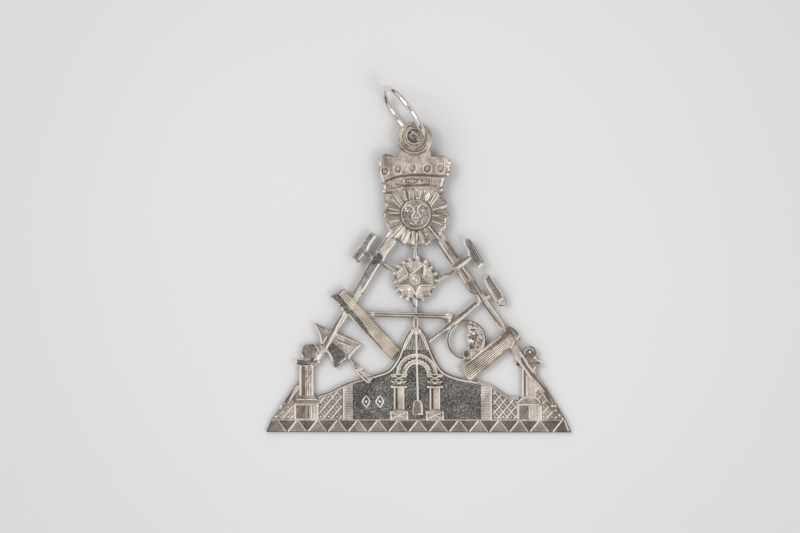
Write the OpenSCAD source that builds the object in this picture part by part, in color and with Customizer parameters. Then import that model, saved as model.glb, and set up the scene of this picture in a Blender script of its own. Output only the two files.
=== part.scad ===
// Masonic jewel: a pierced and cast silver plate hung from a jump ring.
// The plate lies face up on a table, with its base edge down and its eyelet
// propped on the standing ring that passes through it.
// Places on the plate are [across, up] pairs. Across is a share of the base
// width and up a share of the plate height, measured from the base edge.

/* [Plate] */
// Width of the base from tip to tip
base_w = 60; // [54:0.5:68]
// Height from the base edge to the top of the eyelet
plate_h = 61; // [56:0.5:68]
// Thickness of the casting under the raised emblems
plate_t = 1.0; // [0.8:0.05:1.4]
// Depth of the sunk grounds below the casting's face
sink = 0.25; // [0.1:0.05:0.4]
// Height of the boldest relief above the casting's face
relief = 0.4; // [0.2:0.05:0.6]
// How far the emblems stand left of the middle of the base
axis_off = 0.4; // [0:0.1:1]
// Width of a raised line
line_w = 0.4; // [0.3:0.05:0.55]
// Height of a raised line above what it lies on
line_h = 0.15; // [0.1:0.05:0.25]

/* [Base band] */
// Height of the band along the base
band_h = 2.35; // [1.8:0.05:3]
// Distance between the points of the zigzag
zigzag_pitch = 3.94; // [3:0.01:5]
// Distance between the crossing bars of the lattice
lattice_pitch = 1.45; // [1.2:0.05:2]

/* [Eyelet and jump ring] */
// Radius of the eyelet's disc
eyelet_r = 3.4; // [3.2:0.1:4]
// How far the hole lies above the middle of the disc
hole_up = 0.6; // [0:0.05:0.7]
// Play between the ring's wire and the narrow part of the hole
hole_play = 0.3; // [0.2:0.05:0.4]
// Middle diameter of the jump ring
ring_d = 12; // [11:0.25:14]
// Diameter of the ring's wire
wire_d = 1.2; // [0.9:0.1:1.3]
// Angle of the ring to the table
ring_lean = 72; // [68:1:78]
// Direction of the ring's lower end, seen from above
ring_turn = -53; // [-65:1:-40]
// Place of the hole on the ring, in degrees below its middle height
ring_seat = 37; // [32:1:39]

/* [Crown and sun] */
// Width of the crown at its widest
crown_w = 14.6; // [13:0.2:16]
// Height of the crown
crown_h = 7.4; // [6.6:0.1:8.2]
// Radius of a pearl on the crown
pearl_r = 0.7; // [0.5:0.05:0.8]
// Radius of the sun over its rays
sun_r = 6.6; // [6:0.1:7.4]
// Radius of the sun's face
sun_face_r = 2.8; // [2.4:0.1:3.2]
// Number of rays
sun_rays = 16; // [12:1:20]
// Depth of the hollows between the tips of the rays
ray_hollow = 0.55; // [0.3:0.05:0.8]

/* [Star] */
// Radius of the star's disc over its teeth
star_r = 4.75; // [4.2:0.1:5.4]
// Radius of the five-pointed star
star_arm = 4.0; // [3.4:0.1:4.2]
// Number of teeth round the disc
star_teeth = 16; // [12:1:20]
// Depth of the teeth
tooth_depth = 0.75; // [0.5:0.05:0.9]

/* [Bars and legs] */
// Width of the compass legs near the sun
leg_w = 2.0; // [1.6:0.1:2.4]
// Width of the legs where they are narrow
leg_narrow = 1.15; // [0.9:0.05:1.6]
// Width of the handles and the rod
handle_w = 0.8; // [0.65:0.05:1.1]
// Width of the level cross bar
bar_w = 0.9; // [0.7:0.05:1.2]
// Radius of the knob at the end of the bar
knob_r = 0.65; // [0.55:0.05:0.9]
// Width of the fluted rules
rule_w = 3.1; // [2.7:0.1:3.6]
// Number of raised flutes on a rule
rule_flutes = 5; // [3:1:6]
// Length of the pointed flap at the upper end of the left rule
flap_l = 1.3; // [0.8:0.1:1.8]

/* [Hammers, trowel and moon] */
// Width of the heads of the mallet, gavel and maul
head_w = 1.45; // [1.2:0.05:1.8]
// Radius of the round end of the maul
maul_end_r = 0.8; // [0.75:0.05:1]
// Length of the trowel's blade
blade_l = 10.2; // [9.4:0.2:11]
// Width of the trowel's blade at its heel
blade_w = 7; // [6.4:0.1:7.6]
// Outer radius of the moon
moon_r = 3.95; // [3.6:0.05:4.3]
// Wall of the thin ring round the moon
moon_wall = 0.6; // [0.45:0.05:0.8]

/* [Arch and columns] */
// Outer radius of the arch
arch_r = 4.0; // [3.7:0.05:4.2]
// Width of the arch's band
arch_w = 1.9; // [1.6:0.05:2.1]
// Height of the columns, with capital and plinth
column_h = 9.1; // [8.6:0.1:9.6]
// Width of a column's shaft
column_w = 2.1; // [1.8:0.05:2.4]
// Width of a column's plinth and capital
plinth_w = 3.6; // [3.2:0.1:3.9]
// Height of a column's plinth
plinth_h = 2.1; // [1.7:0.1:2.5]
// Height of a column's capital
capital_h = 2.5; // [2.1:0.1:2.9]
// Width of the plumb bob
bob_w = 2.0; // [1.7:0.1:2.4]
// Length of the plumb bob
bob_l = 2.9; // [2.5:0.1:3.3]
// Height of the bob's foot above the base band
bob_up = 1.1; // [0.8:0.1:1.4]
// Number of bends in the arch's zigzag moulding
arch_bends = 14; // [10:2:18]

/* [Pillars] */
// Width of a pillar's shaft
pillar_w = 2.75; // [2.4:0.05:3.1]
// Width of a pillar's pedestal
pedestal_w = 4.75; // [4.3:0.05:5.2]
// Height of the pedestal's body
pedestal_h = 3.05; // [2.7:0.05:3.5]
// Height of the moulding on the pedestal
moulding_h = 1.5; // [1.2:0.05:1.8]
// Thickness of the slab on a pillar
abacus_h = 0.75; // [0.6:0.05:0.9]
// Radius of a pillar's globe
globe_r = 1.35; // [1.2:0.05:1.6]

/* [Hidden] */
$fn = 64;

// Levels above the back of the casting
ground_z = plate_t - sink;
face_z = plate_t;
// Depth to which a raised form is rooted in what carries it
root = 0.3;

function at(place) = [place[0] * base_w - axis_off, place[1] * plate_h];
function turn_of(from, to) = atan2(to[1] - from[1], to[0] - from[0]);
function along(from, to, share) = from + (to - from) * share;
function unit(from, to) = (to - from) / norm(to - from);
function left_of(from, to) = let (u = unit(from, to)) [-u[1], u[0]];
function polar(r, a) = [r * cos(a), r * sin(a)];
// Radius of a round back that is w wide and rises by h
function swell_r(w, h) = (w * w / 4 + h * h) / (2 * h);

// A smooth line through points, steps to each stretch
function bend(a, b, c, d, t) =
    0.5 * (2 * b + (c - a) * t + (2 * a - 5 * b + 4 * c - d) * t * t + (3 * b - a - 3 * c + d) * t * t * t);
function smooth(points, steps) =
    let (last = len(points) - 1)
    concat(
        [for (i = [0:last - 1]) for (s = [0:steps - 1])
            bend(points[max(i - 1, 0)], points[i], points[i + 1], points[min(i + 2, last)], s / steps)],
        [points[last]]);

// Places of the emblems, [across, up]
eyelet_at = at([-0.005, 1]) - [0, eyelet_r];
hole_at = eyelet_at + [0, hole_up];
crown_at = at([-0.008, 0.773]);
sun_at = at([0, 0.702]);
star_at = at([-0.003, 0.491]);
arch_at = [at([0.001, 0])[0], band_h + column_h];
left_leg_top = at([-0.085, 0.624]);
left_leg_mid = at([-0.304, 0.265]);
left_leg_foot = [-base_w / 2 + 0.65, 0.9];
right_leg_top = at([0.082, 0.621]);
right_leg_step = at([0.205, 0.436]);
right_leg_mid = at([0.298, 0.304]);
right_leg_foot = [base_w / 2 - 0.65, 0.9];
bar_left = at([-0.166, 0.382]);
bar_right = at([0.109, 0.374]);
left_rule_from = at([-0.258, 0.436]);
left_rule_to = at([-0.060, 0.243]);
right_rule_from = at([0.322, 0.321]);
right_rule_to = at([0.149, 0.178]);
// The moon is seated on the upper edge of the right rule
moon_at = along(right_rule_from, right_rule_to, 0.61)
    + left_of(right_rule_to, right_rule_from) * (moon_r + rule_w / 2 - 0.6);
// The maul's handle runs over the moon's edge to the mound
handle_bend = moon_at + polar(moon_r + handle_w / 2 - 0.3, 127);
handle_foot = at([0.030, 0.285]);
left_pillar_x = at([-0.358, 0])[0];
right_pillar_x = at([0.368, 0])[0];
pillar_top = at([0, 0.219])[1];

// Outline of the mound from the left pillar over the peak to the right one
mound_left = [
    for (p = [[-0.345, 0.112], [-0.281, 0.128], [-0.202, 0.163], [-0.142, 0.179], [-0.093, 0.197],
        [-0.063, 0.232], [-0.036, 0.292], [-0.012, 0.329]]) at(p)];
mound_right = [
    for (p = [[0.010, 0.329], [0.037, 0.288], [0.057, 0.237], [0.084, 0.197], [0.122, 0.177],
        [0.210, 0.158], [0.250, 0.144], [0.301, 0.110], [0.355, 0.110]]) at(p)];
mound_line = concat(smooth(mound_left, 3), smooth(mound_right, 3));
// Panels of the mound: inner and outer edge of each brick pier
left_pier = [at([-0.209, 0])[0], at([-0.238, 0])[0]];
right_pier = [at([0.210, 0])[0], at([0.240, 0])[0]];

// Rest pose: the hole's middle lies on the ring, which stands on the table
ring_r = ring_d / 2;
wire_r = wire_d / 2;
hole_z = ring_r * sin(ring_lean) * (1 - sin(ring_seat)) + wire_r;
tilt = asin(hole_z / norm([hole_at[1], plate_t / 2])) - atan2(plate_t / 2, hole_at[1]);
ring_long = [cos(ring_turn), sin(ring_turn), 0];
ring_high = [-sin(ring_turn) * cos(ring_lean), cos(ring_turn) * cos(ring_lean), sin(ring_lean)];
ring_axis = cross(ring_long, ring_high);
hole_place = [
    hole_at[0],
    hole_at[1] * cos(tilt) - plate_t / 2 * sin(tilt),
    hole_at[1] * sin(tilt) + plate_t / 2 * cos(tilt)];
ring_at = hole_place - ring_r * (cos(ring_seat) * ring_long - sin(ring_seat) * ring_high);
// Slant of the wire to the plate where it passes the hole
wire_way = sin(ring_seat) * ring_long + cos(ring_seat) * ring_high;
slant = acos(wire_way * [0, -sin(tilt), cos(tilt)]);
hole_r = wire_r / cos(slant) + hole_play;
flare_r = hole_r + plate_t / 2 * tan(slant);
// The whole object's reach along Y, to stand it on the middle of its box
reach_high = ring_at[1] + ring_r * sqrt(1 - ring_axis[1] * ring_axis[1]) + wire_r;
reach_low = -(face_z + line_h) * sin(tilt);
middle_y = (reach_high + reach_low) / 2;

// Shapes drawn flat

module strip(from, to, w0, w1) {
    side = left_of(from, to) / 2;
    polygon([from + side * w0, to + side * w1, to - side * w1, from - side * w0]);
}

module base_outline() {
    half = base_w / 2;
    polygon([
        [-half, 0], [-half + 0.2 * band_h, 0.55 * band_h], [-half + 0.5 * band_h, 1.06 * band_h],
        [half - 0.5 * band_h, 1.06 * band_h], [half - 0.2 * band_h, 0.55 * band_h], [half, 0]]);
}

module mound_outline() {
    polygon(concat(
        [[mound_line[0][0], band_h / 2]], mound_line, [[mound_line[len(mound_line) - 1][0], band_h / 2]]));
}

// The sloping corner between a leg, its pillar and the base
module corner_outline(side, foot, knee, pillar_x) {
    polygon([
        [foot[0] + side * 0.3, band_h / 2], [side * (base_w / 2 - 0.85 * band_h), 1.7 * band_h],
        [side * (base_w / 2 - 1.6 * band_h), at([0, 0.1])[1]], knee,
        [pillar_x, knee[1]], [pillar_x, band_h / 2]]);
}

module wavy_disc(r, depth, count, start) {
    polygon([
        for (i = [0:count * 6 - 1])
            let (a = start + i * 60 / count, wave = abs(sin((a - start) * count / 2)))
            polar(r - depth * wave, a)]);
}

module toothed_disc(r, depth, count, start) {
    polygon([
        for (i = [0:count - 1])
            let (a = start + i * 360 / count, step = 360 / count)
            each [polar(r, a), polar(r - depth, a + 0.35 * step), polar(r - depth, a + 0.65 * step)]]);
}

module crown_outline() {
    // Right half of the crown, [share of half the width, share of the height]
    half = [
        [0.82, 0], [0.80, 0.12], [0.84, 0.26], [0.96, 0.48], [1.00, 0.62], [1.00, 0.80],
        [0.93, 0.93], [0.78, 0.98], [0.62, 0.93], [0.48, 1.00]];
    function spot(p, side) = crown_at + [side * p[0] * crown_w / 2, p[1] * crown_h];
    polygon(concat(
        [for (p = half) spot(p, 1)],
        [for (i = [len(half) - 1:-1:0]) spot(half[i], -1)]));
}

// Solid forms that are rooted in the casting

// A bar with a round back, w wide, that rises by h over its sides' height z
module round_back(from, to, w, z, h) {
    back = swell_r(w, h);
    translate(from) rotate(turn_of(from, to)) rotate([90, 0, 90]) linear_extrude(norm(to - from)) {
        translate([-w / 2, 0]) square([w, z]);
        intersection() {
            translate([0, z + h - back]) circle(back);
            translate([-w / 2, z - root]) square([w, h + root + 0.1]);
        }
    }
}

// A round button that swells by h above its side's height z
module dome(place, r, z, h, foot = 0) {
    back = swell_r(2 * r, h);
    translate(place) rotate_extrude() intersection() {
        translate([0, z + h - back]) circle(back, $fn = 128);
        translate([0, foot]) square([r, z + h - foot + 0.1]);
    }
}

// A ridge with a roof-shaped back from a blunt foot to a point
module flame(from, to, w, z, h) {
    side = left_of(from, to) * w / 2;
    low = z - root;
    wide = along(from, to, 0.45);
    flat = [from - side * 0.5, wide - side, to, wide + side, from + side * 0.5];
    points = concat(
        [for (p = flat) [p[0], p[1], low]],
        [for (p = flat) [p[0], p[1], z]],
        [[wide[0], wide[1], z + h], [from[0], from[1], z + h * 0.8]]);
    polyhedron(points, [
        [0, 1, 2], [0, 2, 3], [0, 3, 4],
        [0, 5, 6], [0, 6, 1], [1, 6, 7], [1, 7, 2], [2, 7, 8], [2, 8, 3], [3, 8, 9], [3, 9, 4],
        [4, 9, 5], [4, 5, 0],
        [5, 10, 6], [5, 11, 10], [6, 10, 7], [7, 10, 8], [8, 10, 9], [9, 10, 11], [9, 11, 5]]);
}

// A star of five arms, each with a ridge, that rises to its middle
module faceted_star(place, r, z, h) {
    inner = r * 0.42;
    rim = [for (i = [0:9]) polar(i % 2 == 0 ? r : inner, -90 + i * 36)];
    points = concat(
        [for (p = rim) [p[0], p[1], z - root]], [for (p = rim) [p[0], p[1], z]],
        [[0, 0, z - root], [0, 0, z + h]]);
    translate(place) polyhedron(points, concat(
        [for (i = [0:9]) [20, i, (i + 1) % 10]],
        [for (i = [0:9]) each [[i, 10 + i, (i + 1) % 10], [10 + i, 10 + (i + 1) % 10, (i + 1) % 10]]],
        [for (i = [0:9]) [21, 10 + (i + 1) % 10, 10 + i]]));
}

module raised(z, h) {
    translate([0, 0, z - root]) linear_extrude(h + root) children();
}

// Sub-parts of the plate

module base_band() {
    linear_extrude(face_z) base_outline();
    count = floor((base_w - 2 * band_h) / zigzag_pitch);
    start = -count * zigzag_pitch / 2;
    function corner(i) = [start + i * zigzag_pitch / 2, i % 2 == 0 ? line_w / 2 : band_h - line_w / 2];
    rise = [0, line_w * 0.55];
    raised(face_z, line_h) polygon(concat(
        [for (i = [0:2 * count]) corner(i) + rise],
        [for (i = [2 * count:-1:0]) corner(i) - rise]));
    raised(face_z, line_h) translate([-base_w / 2 + 0.5 * band_h, band_h - line_w / 2])
        square([base_w - band_h, line_w]);
}

module mound() {
    linear_extrude(ground_z) mound_outline();
    raised(ground_z, sink + line_h) intersection() {
        mound_outline();
        difference() {
            mound_outline();
            translate([0, -line_w]) polygon(concat(
                [[mound_line[0][0] - 1, -1]], mound_line, [[mound_line[len(mound_line) - 1][0] + 1, -1]]));
        }
    }
    for (pier = [left_pier, right_pier]) {
        raised(ground_z, sink) intersection() {
            mound_outline();
            translate([min(pier), band_h / 2]) square([abs(pier[0] - pier[1]), plate_h]);
        }
    }
    lattice(left_pillar_x + pedestal_w / 2, left_pier[1]);
    lattice(right_pier[1], right_pillar_x - pedestal_w / 2);
}

// Diamond lattice between two uprights under the mound's outline
module lattice(from_x, to_x) {
    high = at([0, 0.17])[1];
    raised(ground_z, line_h) intersection() {
        mound_outline();
        translate([from_x, band_h]) square([to_x - from_x, high]);
        union() {
            for (x = [from_x - high:lattice_pitch:to_x]) {
                strip([x, band_h], [x + high, band_h + high], line_w / 2, line_w / 2);
                strip([x + high, band_h], [x, band_h + high], line_w / 2, line_w / 2);
            }
        }
    }
}

module corner(side, foot, knee, pillar_x) {
    linear_extrude(ground_z + 0.05) corner_outline(side, foot, knee, pillar_x);
}

module pillar(x, side) {
    base_y = band_h;
    moulding_y = base_y + pedestal_h;
    shaft_y = moulding_y + moulding_h;
    round_back([x, shaft_y - 0.1], [x, pillar_top + 0.1], pillar_w, face_z, relief * 0.75);
    translate([x - pedestal_w / 2, base_y - 0.2, 0]) difference() {
        cube([pedestal_w, pedestal_h + 0.4, face_z + relief * 0.4]);
        translate([line_w, line_w + 0.2, face_z])
            cube([pedestal_w * 0.42, pedestal_h - 2 * line_w, relief]);
    }
    linear_extrude(face_z + relief * 0.6) polygon([
        [x - pedestal_w / 2 - 0.1, moulding_y], [x - pillar_w / 2 - 0.15, shaft_y],
        [x + pillar_w / 2 + 0.15, shaft_y], [x + pedestal_w / 2 + 0.1, moulding_y]]);
    round_back(
        [x - pillar_w * 0.8, pillar_top + abacus_h / 2], [x + pillar_w * 0.8, pillar_top + abacus_h / 2],
        abacus_h, face_z, relief * 0.8);
    globe_y = pillar_top + abacus_h + globe_r * 0.9;
    dome([x + side * 0.25, globe_y], globe_r, face_z - 0.1, relief * 1.1);
}

// Foliage that ties the left globe to the compass leg and the trowel
module foliage() {
    linear_extrude(face_z - 0.05) polygon([
        at([-0.352, 0.232]), at([-0.326, 0.222]), at([-0.300, 0.248]), at([-0.296, 0.280]),
        at([-0.322, 0.278]), at([-0.352, 0.272])]);
}

module left_leg() {
    knee = along(left_leg_top, left_leg_mid, 0.145);
    step = along(left_leg_top, left_leg_mid, 0.50);
    linear_extrude(face_z) {
        strip(along(sun_at, left_leg_top, 0.6), along(knee, step, 0.2), leg_w, leg_w);
        strip(knee, step, leg_w + 0.1, leg_w - 0.15);
        strip(along(knee, step, 0.9), left_leg_mid, leg_narrow, leg_narrow);
        strip(along(step, left_leg_mid, 0.8), left_leg_foot, leg_narrow * 1.1, leg_narrow * 1.3);
    }
    inner = left_of(left_leg_top, left_leg_mid);
    raised(face_z, line_h) strip(
        knee + inner * (leg_w / 2 - line_w / 2), step + inner * (leg_w / 2 - line_w / 2), line_w, line_w);
    outer = left_of(left_leg_mid, left_leg_foot) * (leg_narrow * 0.6 - line_w / 2);
    raised(face_z, line_h) strip(
        along(left_leg_mid, left_leg_foot, 0.3) - outer, left_leg_foot - outer, line_w, line_w);
}

module right_leg() {
    knee = along(right_leg_top, right_leg_step, 0.45);
    linear_extrude(face_z) {
        strip(along(sun_at, right_leg_top, 0.6), knee, leg_w * 0.85, leg_w * 0.85);
        strip(along(right_leg_top, knee, 0.9), right_leg_step, leg_w * 0.9, leg_w);
        strip(along(knee, right_leg_step, 0.85), right_leg_mid, leg_narrow, leg_narrow);
        strip(along(right_leg_step, right_leg_mid, 0.9), right_leg_foot, leg_narrow * 1.3, leg_narrow);
    }
    across = left_of(right_leg_mid, right_leg_foot) * (leg_narrow * 0.6 - line_w / 2);
    for (edge = [1, -1]) {
        raised(face_z, line_h) strip(
            along(right_leg_mid, right_leg_foot, 0.1) + edge * across,
            along(right_leg_mid, right_leg_foot, 0.95) + edge * across * 0.8, line_w, line_w);
    }
}

// A fluted rule: a flat bar with a sunk strip and raised lines along it
module rule(from, to, end_w, flute_side) {
    z = face_z + relief * 0.35;
    linear_extrude(z) strip(from, to, rule_w, end_w);
    way = left_of(from, to) * flute_side;
    gap = rule_w / 2 / rule_flutes;
    for (i = [0:rule_flutes - 1]) {
        raised(z, line_h) strip(
            from + way * (rule_w / 2 - line_w / 2 - i * gap),
            to + way * (end_w / 2 - line_w / 2 - i * gap), gap * 0.5, gap * 0.5);
    }
}

module left_rule() {
    rule(left_rule_from, left_rule_to, rule_w * 0.88, 1);
    // Pointed flap at the upper end
    way = left_of(left_rule_from, left_rule_to);
    flap = left_rule_from - unit(left_rule_from, left_rule_to) * flap_l - way * rule_w * 0.55;
    linear_extrude(face_z) polygon([
        flap, left_rule_from + way * rule_w * 0.2,
        along(left_rule_from, left_rule_to, 0.25) - way * rule_w * 0.3]);
}

module right_rule() {
    rule(right_rule_from, right_rule_to, rule_w * 1.1, 1);
}

module mallet() {
    a = at([-0.140, 0.636]);
    b = at([-0.199, 0.558]);
    middle = along(a, b, 0.52);
    round_back(a, b, head_w * 0.9, face_z, relief * 0.5);
    end = star_at + unit(star_at, middle) * star_r * 0.75;
    linear_extrude(face_z - 0.1) strip(middle, end, handle_w * 1.2, handle_w * 0.7);
}

module gavel() {
    a = at([0.165, 0.622]);
    b = at([0.212, 0.539]);
    way = unit(a, b);
    side = left_of(a, b);
    middle = along(a, b, 0.62);
    z = face_z + relief * 0.5;
    linear_extrude(z) polygon([
        a + side * head_w * 0.35, along(a, b, 0.3) + side * head_w * 0.6, b + side * head_w * 0.55,
        b + way * 0.15 - side * head_w * 0.5, along(a, b, 0.6) - side * head_w * 0.45,
        along(a, b, 0.3) - side * head_w * 0.2, a - side * head_w * 0.35]);
    for (i = [-1:1]) {
        raised(z, line_h) strip(
            along(a, b, 0.12) + side * (i + 0.2) * head_w * 0.22,
            along(a, b, 0.95) + side * i * head_w * 0.27, line_w / 2, line_w / 2);
    }
    end = star_at + unit(star_at, middle) * star_r * 0.75;
    linear_extrude(face_z + 0.1) strip(middle, end, handle_w, handle_w * 0.75);
}

module maul() {
    a = at([0.234, 0.500]);
    b = at([0.270, 0.436]);
    round_back(a, b, head_w, face_z, relief * 0.6);
    round_end = b + unit(a, b) * maul_end_r * 0.6;
    z = face_z + relief * 0.4;
    translate(round_end) difference() {
        cylinder(r = maul_end_r, h = z + line_h);
        translate([0, 0, z]) cylinder(r = maul_end_r - line_w * 0.6, h = 1);
    }
    linear_extrude(face_z - 0.05) {
        strip(along(a, b, 0.72), right_leg_step, handle_w * 1.2, handle_w);
        strip(right_leg_step, handle_bend, handle_w, handle_w);
        strip(handle_bend + unit(handle_foot, handle_bend) * 0.3, handle_foot, handle_w, handle_w * 0.7);
    }
}

module cross_bar() {
    round_back(bar_left, bar_right, bar_w, face_z - 0.1, relief * 0.5);
    dome(bar_right, knob_r, face_z, relief * 0.6);
    // Strut from the knob to the maul's handle
    linear_extrude(face_z - 0.15) strip(bar_right, bar_right + [0.1, -knob_r - 0.8], knob_r, knob_r);
}

// Upright rods that join the sun, the star, the bar and the mound's peak
module rods() {
    peak = at([-0.001, 0.315]);
    bar_y = (bar_left[1] + bar_right[1]) / 2;
    linear_extrude(face_z - 0.1) {
        strip(sun_at, star_at, handle_w * 1.2, handle_w * 1.5);
        strip(star_at, [star_at[0], bar_y], handle_w * 1.5, handle_w * 0.6);
        strip([peak[0], bar_y], peak, handle_w * 1.2, handle_w * 1.5);
    }
    round_back(
        at([-0.001, 0.330]) + [-handle_w, 0], at([-0.001, 0.330]) + [handle_w, 0],
        handle_w * 0.7, face_z, relief * 0.5);
}

module trowel() {
    tip = at([-0.334, 0.350]);
    heel = at([-0.222, 0.245]);
    handle_end = at([-0.150, 0.165]);
    u = unit(tip, heel);
    side = left_of(tip, heel);
    heel_at = tip + u * blade_l;
    upper = heel_at + side * blade_w * 0.46 + u * 0.6;
    lower = heel_at - side * blade_w * 0.54;
    // Hollowed lower edge from the heel's corner to the tip, [along, aside]
    hollow = [
        for (p = [[0.92, -0.40], [0.72, -0.30], [0.50, -0.20], [0.26, -0.115], [0.10, -0.06]])
            tip + u * p[0] * blade_l + side * p[1] * blade_w];
    linear_extrude(face_z - 0.1) polygon(concat([tip, upper, lower], hollow));
    raised(face_z - 0.1, line_h) {
        strip(upper, lower, line_w, line_w);
        strip(tip + u * 0.6, upper, line_w * 0.5, line_w * 0.5);
    }
    collar = along(heel_at, handle_end, 0.45);
    round_back(heel_at - u * 1.2, collar, handle_w, face_z - 0.1, relief * 0.5);
    round_back(collar, handle_end, handle_w * 1.5, face_z - 0.1, relief * 0.6);
    across = left_of(collar, handle_end) * handle_w;
    round_back(collar - across, collar + across, handle_w * 0.6, face_z, relief * 0.6);
}

// A thin ring with a face in profile on its right side
module moon() {
    // Profile of the face from brow to chin, [across, up] as shares of the moon's radius
    profile = [
        [0.10, 1.2], [0.10, 0.62], [0.16, 0.42], [0.14, 0.22], [0.02, 0.10], [-0.08, 0.00],
        [0.06, -0.08], [0.02, -0.20], [0.08, -0.28], [0.00, -0.38], [0.06, -0.48],
        [-0.06, -0.62], [-0.10, -0.76], [-0.05, -1.2]];
    behind = [[-1.2, -1.2], [-1.2, 1.2]];
    z = face_z - 0.05;
    translate(moon_at) {
        linear_extrude(z) difference() {
            circle(moon_r);
            intersection() {
                circle(moon_r - moon_wall);
                polygon([for (p = concat(behind, profile)) p * moon_r]);
            }
        }
        dome([0.52, -0.14] * moon_r, moon_r * 0.36, z, relief * 0.7, z - root);
        dome([0.28, 0.24] * moon_r, moon_r * 0.11, z, relief * 0.5, z - root);
    }
}

module arch() {
    z = face_z + relief * 0.4;
    inner = arch_r - arch_w;
    linear_extrude(z) intersection() {
        translate(arch_at) difference() {
            circle(arch_r);
            circle(inner);
        }
        translate(arch_at - [arch_r + 1, 0.2]) square([2 * arch_r + 2, arch_r + 2]);
    }
    // Zigzag moulding round the band
    middle = arch_r - arch_w / 2;
    wave = arch_w * 0.16;
    function corner(i, grow) = arch_at
        + polar(middle + grow + (i % 2 == 0 ? wave : -wave), 4 + i * 172 / arch_bends);
    raised(z, line_h) polygon(concat(
        [for (i = [0:arch_bends]) corner(i, line_w * 0.45)],
        [for (i = [arch_bends:-1:0]) corner(i, -line_w * 0.45)]));
}

module column(x) {
    foot = band_h;
    neck = foot + column_h - capital_h;
    round_back([x, foot + plinth_h - 0.1], [x, neck + 0.1], column_w, face_z, relief * 0.9);
    translate([x - plinth_w / 2, foot - 0.2, 0])
        cube([plinth_w, plinth_h + 0.2, face_z + relief * 0.5]);
    raised(face_z + relief * 0.5, line_h) {
        for (side = [-1, 1]) {
            strip(
                [x - side * plinth_w * 0.4, foot + 0.3],
                [x + side * plinth_w * 0.4, foot + plinth_h - 0.3], line_w / 2, line_w / 2);
        }
    }
    round_back([x - column_w * 0.7, neck], [x + column_w * 0.7, neck], line_w * 1.3, face_z, relief);
    linear_extrude(face_z + relief * 0.6) polygon([
        [x - column_w * 0.5, neck], [x - column_w * 0.62, neck + capital_h * 0.5],
        [x - plinth_w / 2, neck + capital_h * 0.8], [x - plinth_w / 2, neck + capital_h],
        [x + plinth_w / 2, neck + capital_h], [x + plinth_w / 2, neck + capital_h * 0.8],
        [x + column_w * 0.62, neck + capital_h * 0.5], [x + column_w * 0.5, neck]]);
}

module plumb() {
    top = at([0.001, 0.322]);
    bob_foot = [arch_at[0] + 0.2, band_h + bob_up];
    shoulder = bob_foot + [0, bob_l - bob_w / 2];
    z = face_z + relief * 0.6;
    linear_extrude(z) strip(top, shoulder, line_w * 0.9, line_w);
    linear_extrude(z + 0.05) polygon(concat(
        [bob_foot + [-bob_w / 2, 0], bob_foot + [bob_w / 2, 0]],
        [for (a = [0:15:180]) shoulder + polar(bob_w / 2, a)]));
}

module sun() {
    z = face_z;
    translate(sun_at) linear_extrude(z) wavy_disc(sun_r, ray_hollow, sun_rays, -90);
    for (i = [0:sun_rays - 1]) {
        way = -90 + i * 360 / sun_rays;
        flame(
            sun_at + polar(sun_face_r + 0.15, way), sun_at + polar(sun_r - 0.35, way),
            2 * sun_face_r * sin(180 / sun_rays) * 1.05, z, relief * 0.8);
    }
    dome(sun_at, sun_face_r - 0.2, z + relief * 0.3, relief * 0.7);
    translate(sun_at) rotate_extrude() {
        translate([sun_face_r - line_w / 2, 0]) square([line_w, z + relief * 0.4]);
        translate([sun_face_r, z + relief * 0.4]) circle(line_w / 2 * 1.15);
    }
    face(sun_at, sun_face_r, z + relief * 0.9);
}

// Brows, eyes, nose and mouth on a round face
module face(place, r, z) {
    translate(place) {
        for (side = [-1, 1]) {
            dome([side * r * 0.38, r * 0.22], r * 0.13, z, 0.12, z - root);
            dome([side * r * 0.45, -r * 0.18], r * 0.20, z - 0.08, 0.12, z - root);
            raised(z, 0.12) strip(
                [side * r * 0.12, r * 0.36], [side * r * 0.58, r * 0.44], r * 0.10, r * 0.06);
        }
        flame([0, r * 0.42], [0, -r * 0.26], r * 0.30, z, 0.16);
        raised(z - 0.04, 0.14) strip([-r * 0.22, -r * 0.44], [r * 0.22, -r * 0.44], r * 0.09, r * 0.09);
        dome([0, -r * 0.66], r * 0.14, z - 0.12, 0.12, z - root);
    }
}

module crown() {
    z = face_z + 0.05;
    linear_extrude(z) crown_outline();
    // Two bowed bands, [rise of the band's middle as a share of the height]
    for (row = [0.07, 0.47]) {
        bow = crown_w * 1.5;
        raised(z, relief * 0.5) intersection() {
            crown_outline();
            translate(crown_at + [0, row * crown_h - bow + 0.12 * crown_h]) difference() {
                circle(bow, $fn = 128);
                circle(bow - line_w * 0.9, $fn = 128);
            }
        }
    }
    for (i = [-2:2]) {
        dome(crown_at + [i * crown_w * 0.2, crown_h * (0.72 - 0.012 * i * i)], pearl_r, z, relief * 0.7);
    }
    raised(z, relief * 0.5) polygon([
        for (p = [[-0.16, 0.30], [0, 0.40], [0.16, 0.30], [0, 0.20]])
            crown_at + [p[0] * crown_w, p[1] * crown_h]]);
}

module eyelet() {
    linear_extrude(face_z) {
        translate(eyelet_at) circle(eyelet_r);
        strip(
            eyelet_at - [0, eyelet_r * 0.3], crown_at + [0, crown_h * 0.8],
            eyelet_r * 1.7, eyelet_r * 1.9);
    }
    // Turned rings round the hole
    for (share = [0.72, 0.94]) {
        translate(concat(along(hole_at, eyelet_at, share), face_z)) rotate_extrude()
            translate([eyelet_r * share - line_w * 0.4, 0]) circle(line_h);
    }
}

module star() {
    translate(star_at) linear_extrude(face_z - 0.05) toothed_disc(star_r, tooth_depth, star_teeth, -90);
    faceted_star(star_at, star_arm, face_z - 0.05, relief * 0.9);
    dome(star_at, star_arm * 0.2, face_z, relief * 0.95);
}

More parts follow.
